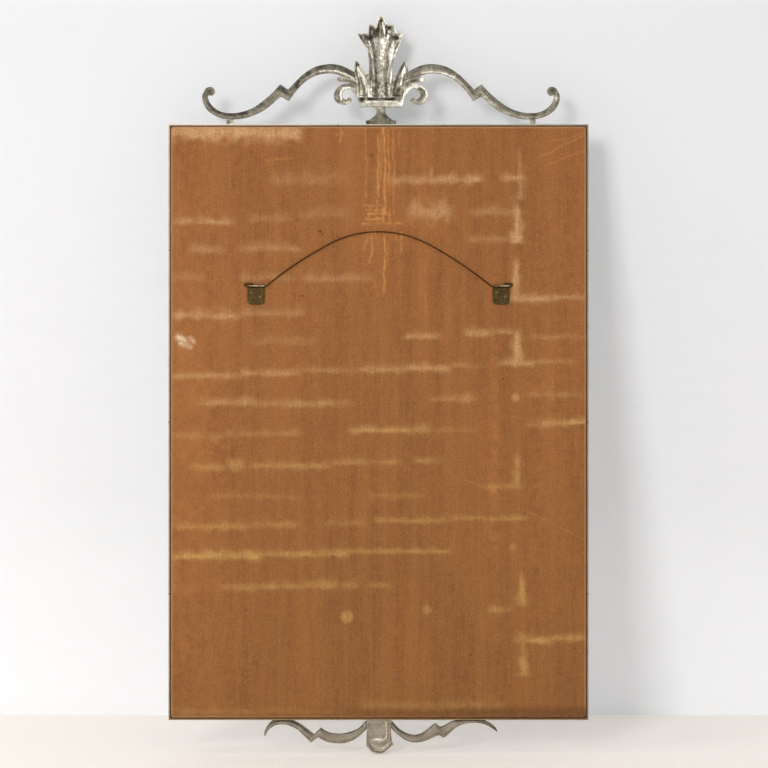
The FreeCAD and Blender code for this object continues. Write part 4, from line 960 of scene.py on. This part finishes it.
def board_marks(x, y):
    """The shares of all kinds of marks at each point, given in pixels."""
    points = np.stack([x, y, np.zeros(len(x))], axis=1)
    wander = noise_at(points, 0.03, 21) * 2.6 + noise_at(points, 0.16, 24) * 0.9
    ragged = 0.9 + 0.7 * noise_at(points, 0.11, 22)
    broken = 0.86 + 0.6 * noise_at(points, 0.075, 23) + 0.24 * noise_at(points, 0.3, 25)
    wiggle = noise_at(points, 0.13, 27) * 1.3
    patchy = np.clip(0.55 + 0.9 * noise_at(points, 0.22, 26), 0, 1)
    stain = 0
    soft = 7
    for level, start, end, half, strength in STREAKS:
        along = smooth_step(x, start - soft, start + soft) * (1 - smooth_step(x, end - soft, end + soft))
        away = y - level - wander * 0.45
        wide = np.where(away < 0, half * 2, half * 1.25) * np.clip(ragged, 0.45, 1.6)
        stain = np.maximum(stain, strength * along * np.exp(-(away / wide) ** 2))
    for across, start, end, half, strength in UPRIGHTS:
        rise = np.clip((y - start) / (end - start), 0, 1)
        along = smooth_step(y, start - soft, start + soft) * (1 - smooth_step(y, end - 1.5, end + 1.5))
        wide = half * (0.75 + 0.85 * rise ** 2) * np.clip(ragged, 0.6, 1.4)
        stain = np.maximum(stain, strength * along * bell(x, across + wander * 0.35, wide))
    for across, level, radius, strength in BLOBS:
        away = np.hypot(x - across, y - level) + wander * 0.25
        stain = np.maximum(stain, strength * (1 - smooth_step(away, radius * 0.45, radius * 1.05)))
    stain = (1.1 - 0.22 * smooth_step(y, 330, 400)) * stain * np.clip(broken, 0.2, 1.12)
    smear = strokes(x + wander * 0.5, y, SMEAR, np.clip(ragged, 0.4, 1.1))
    run = strokes(x + wander * 0.25 + wiggle, y + wiggle * 0.5, RUNS)
    speck = 0
    for across, level, radius in SPECKS:
        away = np.hypot(x - across, y - level)
        speck = np.maximum(speck, 1 - smooth_step(away, radius * 0.5, radius * 1.3))
    warm = 0
    for across, level, wide, high, strength in WARMTH:
        warm = np.maximum(warm, strength * bell(x, across, wide) * bell(y, level, high))
    run *= 0.45 + 0.95 * patchy
    # The foot of the board is made darker below a level, more so to the right.
    dark_foot = smooth_step(y, DARK_FOOT_LEVEL, DARK_FOOT_LEVEL + 9) * smooth_step(x, 150, 560)
    dark_foot *= 0.55 + 0.3 * patchy
    marks = {"stain": stain, "smear": smear, "run": run, "speck": speck, "dark_foot": dark_foot, "warm": warm}
    return {name: np.clip(share, 0, 1) for name, share in marks.items()}


BOARD_CORNER = 4 * MM
BOARD_STEP = 1 * MM


def build_board():
    """The hardboard with rubbed, rounded edges and its stains."""
    low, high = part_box("back_board")
    columns = round((high.x - low.x) / BOARD_STEP)
    rows = round((high.z - low.z) / BOARD_STEP)
    x, z = np.meshgrid(np.linspace(low.x, high.x, columns + 1), np.linspace(low.z, high.z, rows + 1))
    x, z = x.ravel(), z.ravel()
    corner_x = np.clip(x, low.x + BOARD_CORNER, high.x - BOARD_CORNER)
    corner_z = np.clip(z, low.z + BOARD_CORNER, high.z - BOARD_CORNER)
    reach = np.hypot(x - corner_x, z - corner_z)
    outside = reach > BOARD_CORNER
    shrink = np.where(outside, BOARD_CORNER / np.maximum(reach, 1e-9), 1)
    x = corner_x + (x - corner_x) * shrink
    z = corner_z + (z - corner_z) * shrink
    edge = np.minimum.reduce([x - low.x, high.x - x, z - low.z, high.z - z])
    edge = np.where(outside, 0, edge)
    points = np.stack([x, np.zeros(len(x)), z], axis=1)
    drop = 0.28 * MM * near_edge(edge, 0, 1.1)
    uneven = 0.05 * MM * (noise_at(points, 60, 31) - 1) * smooth_step(edge, 0, 4 * MM)
    y = high.y - drop + uneven
    back = np.stack([x, y, z], axis=1)
    grid = np.arange(len(back)).reshape(rows + 1, columns + 1)
    rim = np.concatenate([grid[0], grid[1:, -1], grid[-1, -2::-1], grid[-2:0:-1, 0]]).tolist()
    front = back[rim]
    front[:, 1] = low.y
    vertices = np.concatenate([back, front])
    squares = np.stack([grid[:-1, :-1], grid[1:, :-1], grid[1:, 1:], grid[:-1, 1:]], axis=2)
    faces = squares.reshape(-1, 4).tolist()
    loop = list(range(len(back), len(vertices)))
    sides = zip(rim, rim[1:] + rim[:1], loop[1:] + loop[:1], loop)
    faces += [*sides, tuple(loop)]
    mesh = bpy.data.meshes.new("hardboard_back")
    mesh.from_pydata(vertices.tolist(), [], faces)
    mesh.update()
    for name, share in board_marks(*photo_pixels(vertices)).items():
        store(mesh, name, share)
    edges = np.concatenate([edge, np.zeros(len(rim))])
    store(mesh, "rub", 0.75 * near_edge(edges, 0.3, 1.9))
    height = (vertices[:, 2] - low.z) / (high.z - low.z)
    store(mesh, "low", np.clip(1 - height + 0.15 * noise_at(vertices, 9, 33), 0, 1))
    outward = bmesh.new()
    outward.from_mesh(mesh)
    bmesh.ops.recalc_face_normals(outward, faces=outward.faces)
    outward.to_mesh(mesh)
    outward.free()
    stand_for("back_board", "hardboard_back", mesh, MATERIALS["hardboard"])


def finish_nodes():
    """A material for each part that keeps its own shape."""
    slots = {entry["node"]: entry["material_slot"] for entry in frame["record"]["subparts"]}
    for node, part in frame["nodes"].items():
        material = MATERIALS.get(slots[node])
        if material is None:
            continue
        if not part.material_slots:
            part.data.materials.append(material)
        for place in part.material_slots:
            place.link = "OBJECT"
            place.material = material


def stage_plane(name, first, second, material):
    """A flat piece of the room, between two levels of Y and Z."""
    corners = [(side * ROOM_REACH, *first) for side in (-1, 1)]
    corners += [(side * ROOM_REACH, *second) for side in (1, -1)]
    mesh = bpy.data.meshes.new(name)
    mesh.from_pydata(corners, [], [(0, 1, 2, 3)])
    mesh.update()
    new_object(name, mesh, material)


def build_room():
    """A pale floor and a pale wall on the far side of the photograph's camera."""
    floor = cad_box[0][2] - FLOOR_GAP
    top_y = WALL_LEAN * (ROOM_REACH - floor) - WALL_GAP
    plaster = plain_stage("floor_plaster", (0.86, 0.815, 0.765), 0.27)
    stage_plane("floor", (-ROOM_REACH, floor), (ROOM_REACH, floor), plaster)
    plaster = plain_stage("wall_plaster", (0.865, 0.87, 0.884), 0.14, is_wall=True)
    stage_plane("wall", (top_y, ROOM_REACH), (-WALL_GAP, floor), plaster)


LAMP_TARGET = Vector((0, 0, -0.15))


def add_lamp(name, place, width, power, lights_metal=True, lights_matt=True):
    """A square soft lamp. It may leave out reflections in metal or the matt pieces."""
    light = bpy.data.lights.new(name, "AREA")
    light.shape = "SQUARE"
    light.size = width
    light.energy = power
    lamp = put_in_scene(name, light)
    lamp.location = place
    lamp.rotation_euler = (LAMP_TARGET - Vector(place)).to_track_quat("-Z", "Y").to_euler()
    lamp.visible_glossy = lights_metal
    lamp.visible_diffuse = lights_matt


# The surroundings, and how much more of them metal and the eye get.
WORLD_STRENGTH = 0.66
WORLD_IN_METAL = 0.14
WORLD_TO_THE_EYE = 0.22


def build_light():
    """Even pale surroundings, a key for the shadows, a broad sheen for the metal and weaker side lamps."""
    world = bpy.data.worlds.new("surroundings")
    world.use_nodes = True
    nodes = world.node_tree.nodes
    links = world.node_tree.links
    background = nodes["Background"].inputs
    background["Color"].default_value = (0.92, 0.93, 0.94, 1)
    path = nodes.new("ShaderNodeLightPath").outputs
    for ray, more in (("Is Glossy Ray", WORLD_IN_METAL), ("Is Camera Ray", WORLD_TO_THE_EYE)):
        brighter = nodes.new("ShaderNodeMath")
        brighter.operation = "MULTIPLY_ADD"
        links.new(path[ray], brighter.inputs[0])
        brighter.inputs[1].default_value = more
        brighter.inputs[2].default_value = WORLD_STRENGTH
        if background["Strength"].links:
            links.new(background["Strength"].links[0].from_socket, brighter.inputs[2])
        links.new(brighter.outputs["Value"], background["Strength"])
    bpy.context.scene.world = world
    add_lamp("key", (0.8, 3, 0.5), 0.6, 38, lights_metal=False)
    add_lamp("sheen", (0.85, 3, 0.85), 1.3, 24, lights_matt=False)
    add_lamp("side_key", (1.7, 1.1, 1.1), 0.5, 5)
    add_lamp("front_key", (-0.9, -2.2, 0.7), 1.2, 12)


def build_camera():
    """The photograph's camera: straight on, at the height of the picture's middle."""
    camera = bpy.data.cameras.new("photograph")
    middle_x, middle_z = photo_place(PHOTO_SIZE / 2, PHOTO_SIZE / 2)
    camera.sensor_fit = "HORIZONTAL"
    camera.angle = 2 * math.atan(PHOTO_SIZE * PIXEL / 2 / CAMERA_DISTANCE)
    camera.clip_end = 20
    holder = put_in_scene("photograph", camera)
    holder.location = (middle_x, CAMERA_DISTANCE, middle_z)
    holder.rotation_euler = (math.pi / 2, 0, math.pi)
    bpy.context.scene.camera = holder


build_camera()
build_castings()
for hanger in ("hanger_left", "hanger_right"):
    build_strap(hanger)
build_board()
finish_nodes()
build_room()
build_light()
bpy.context.scene.view_settings.view_transform = "Standard"
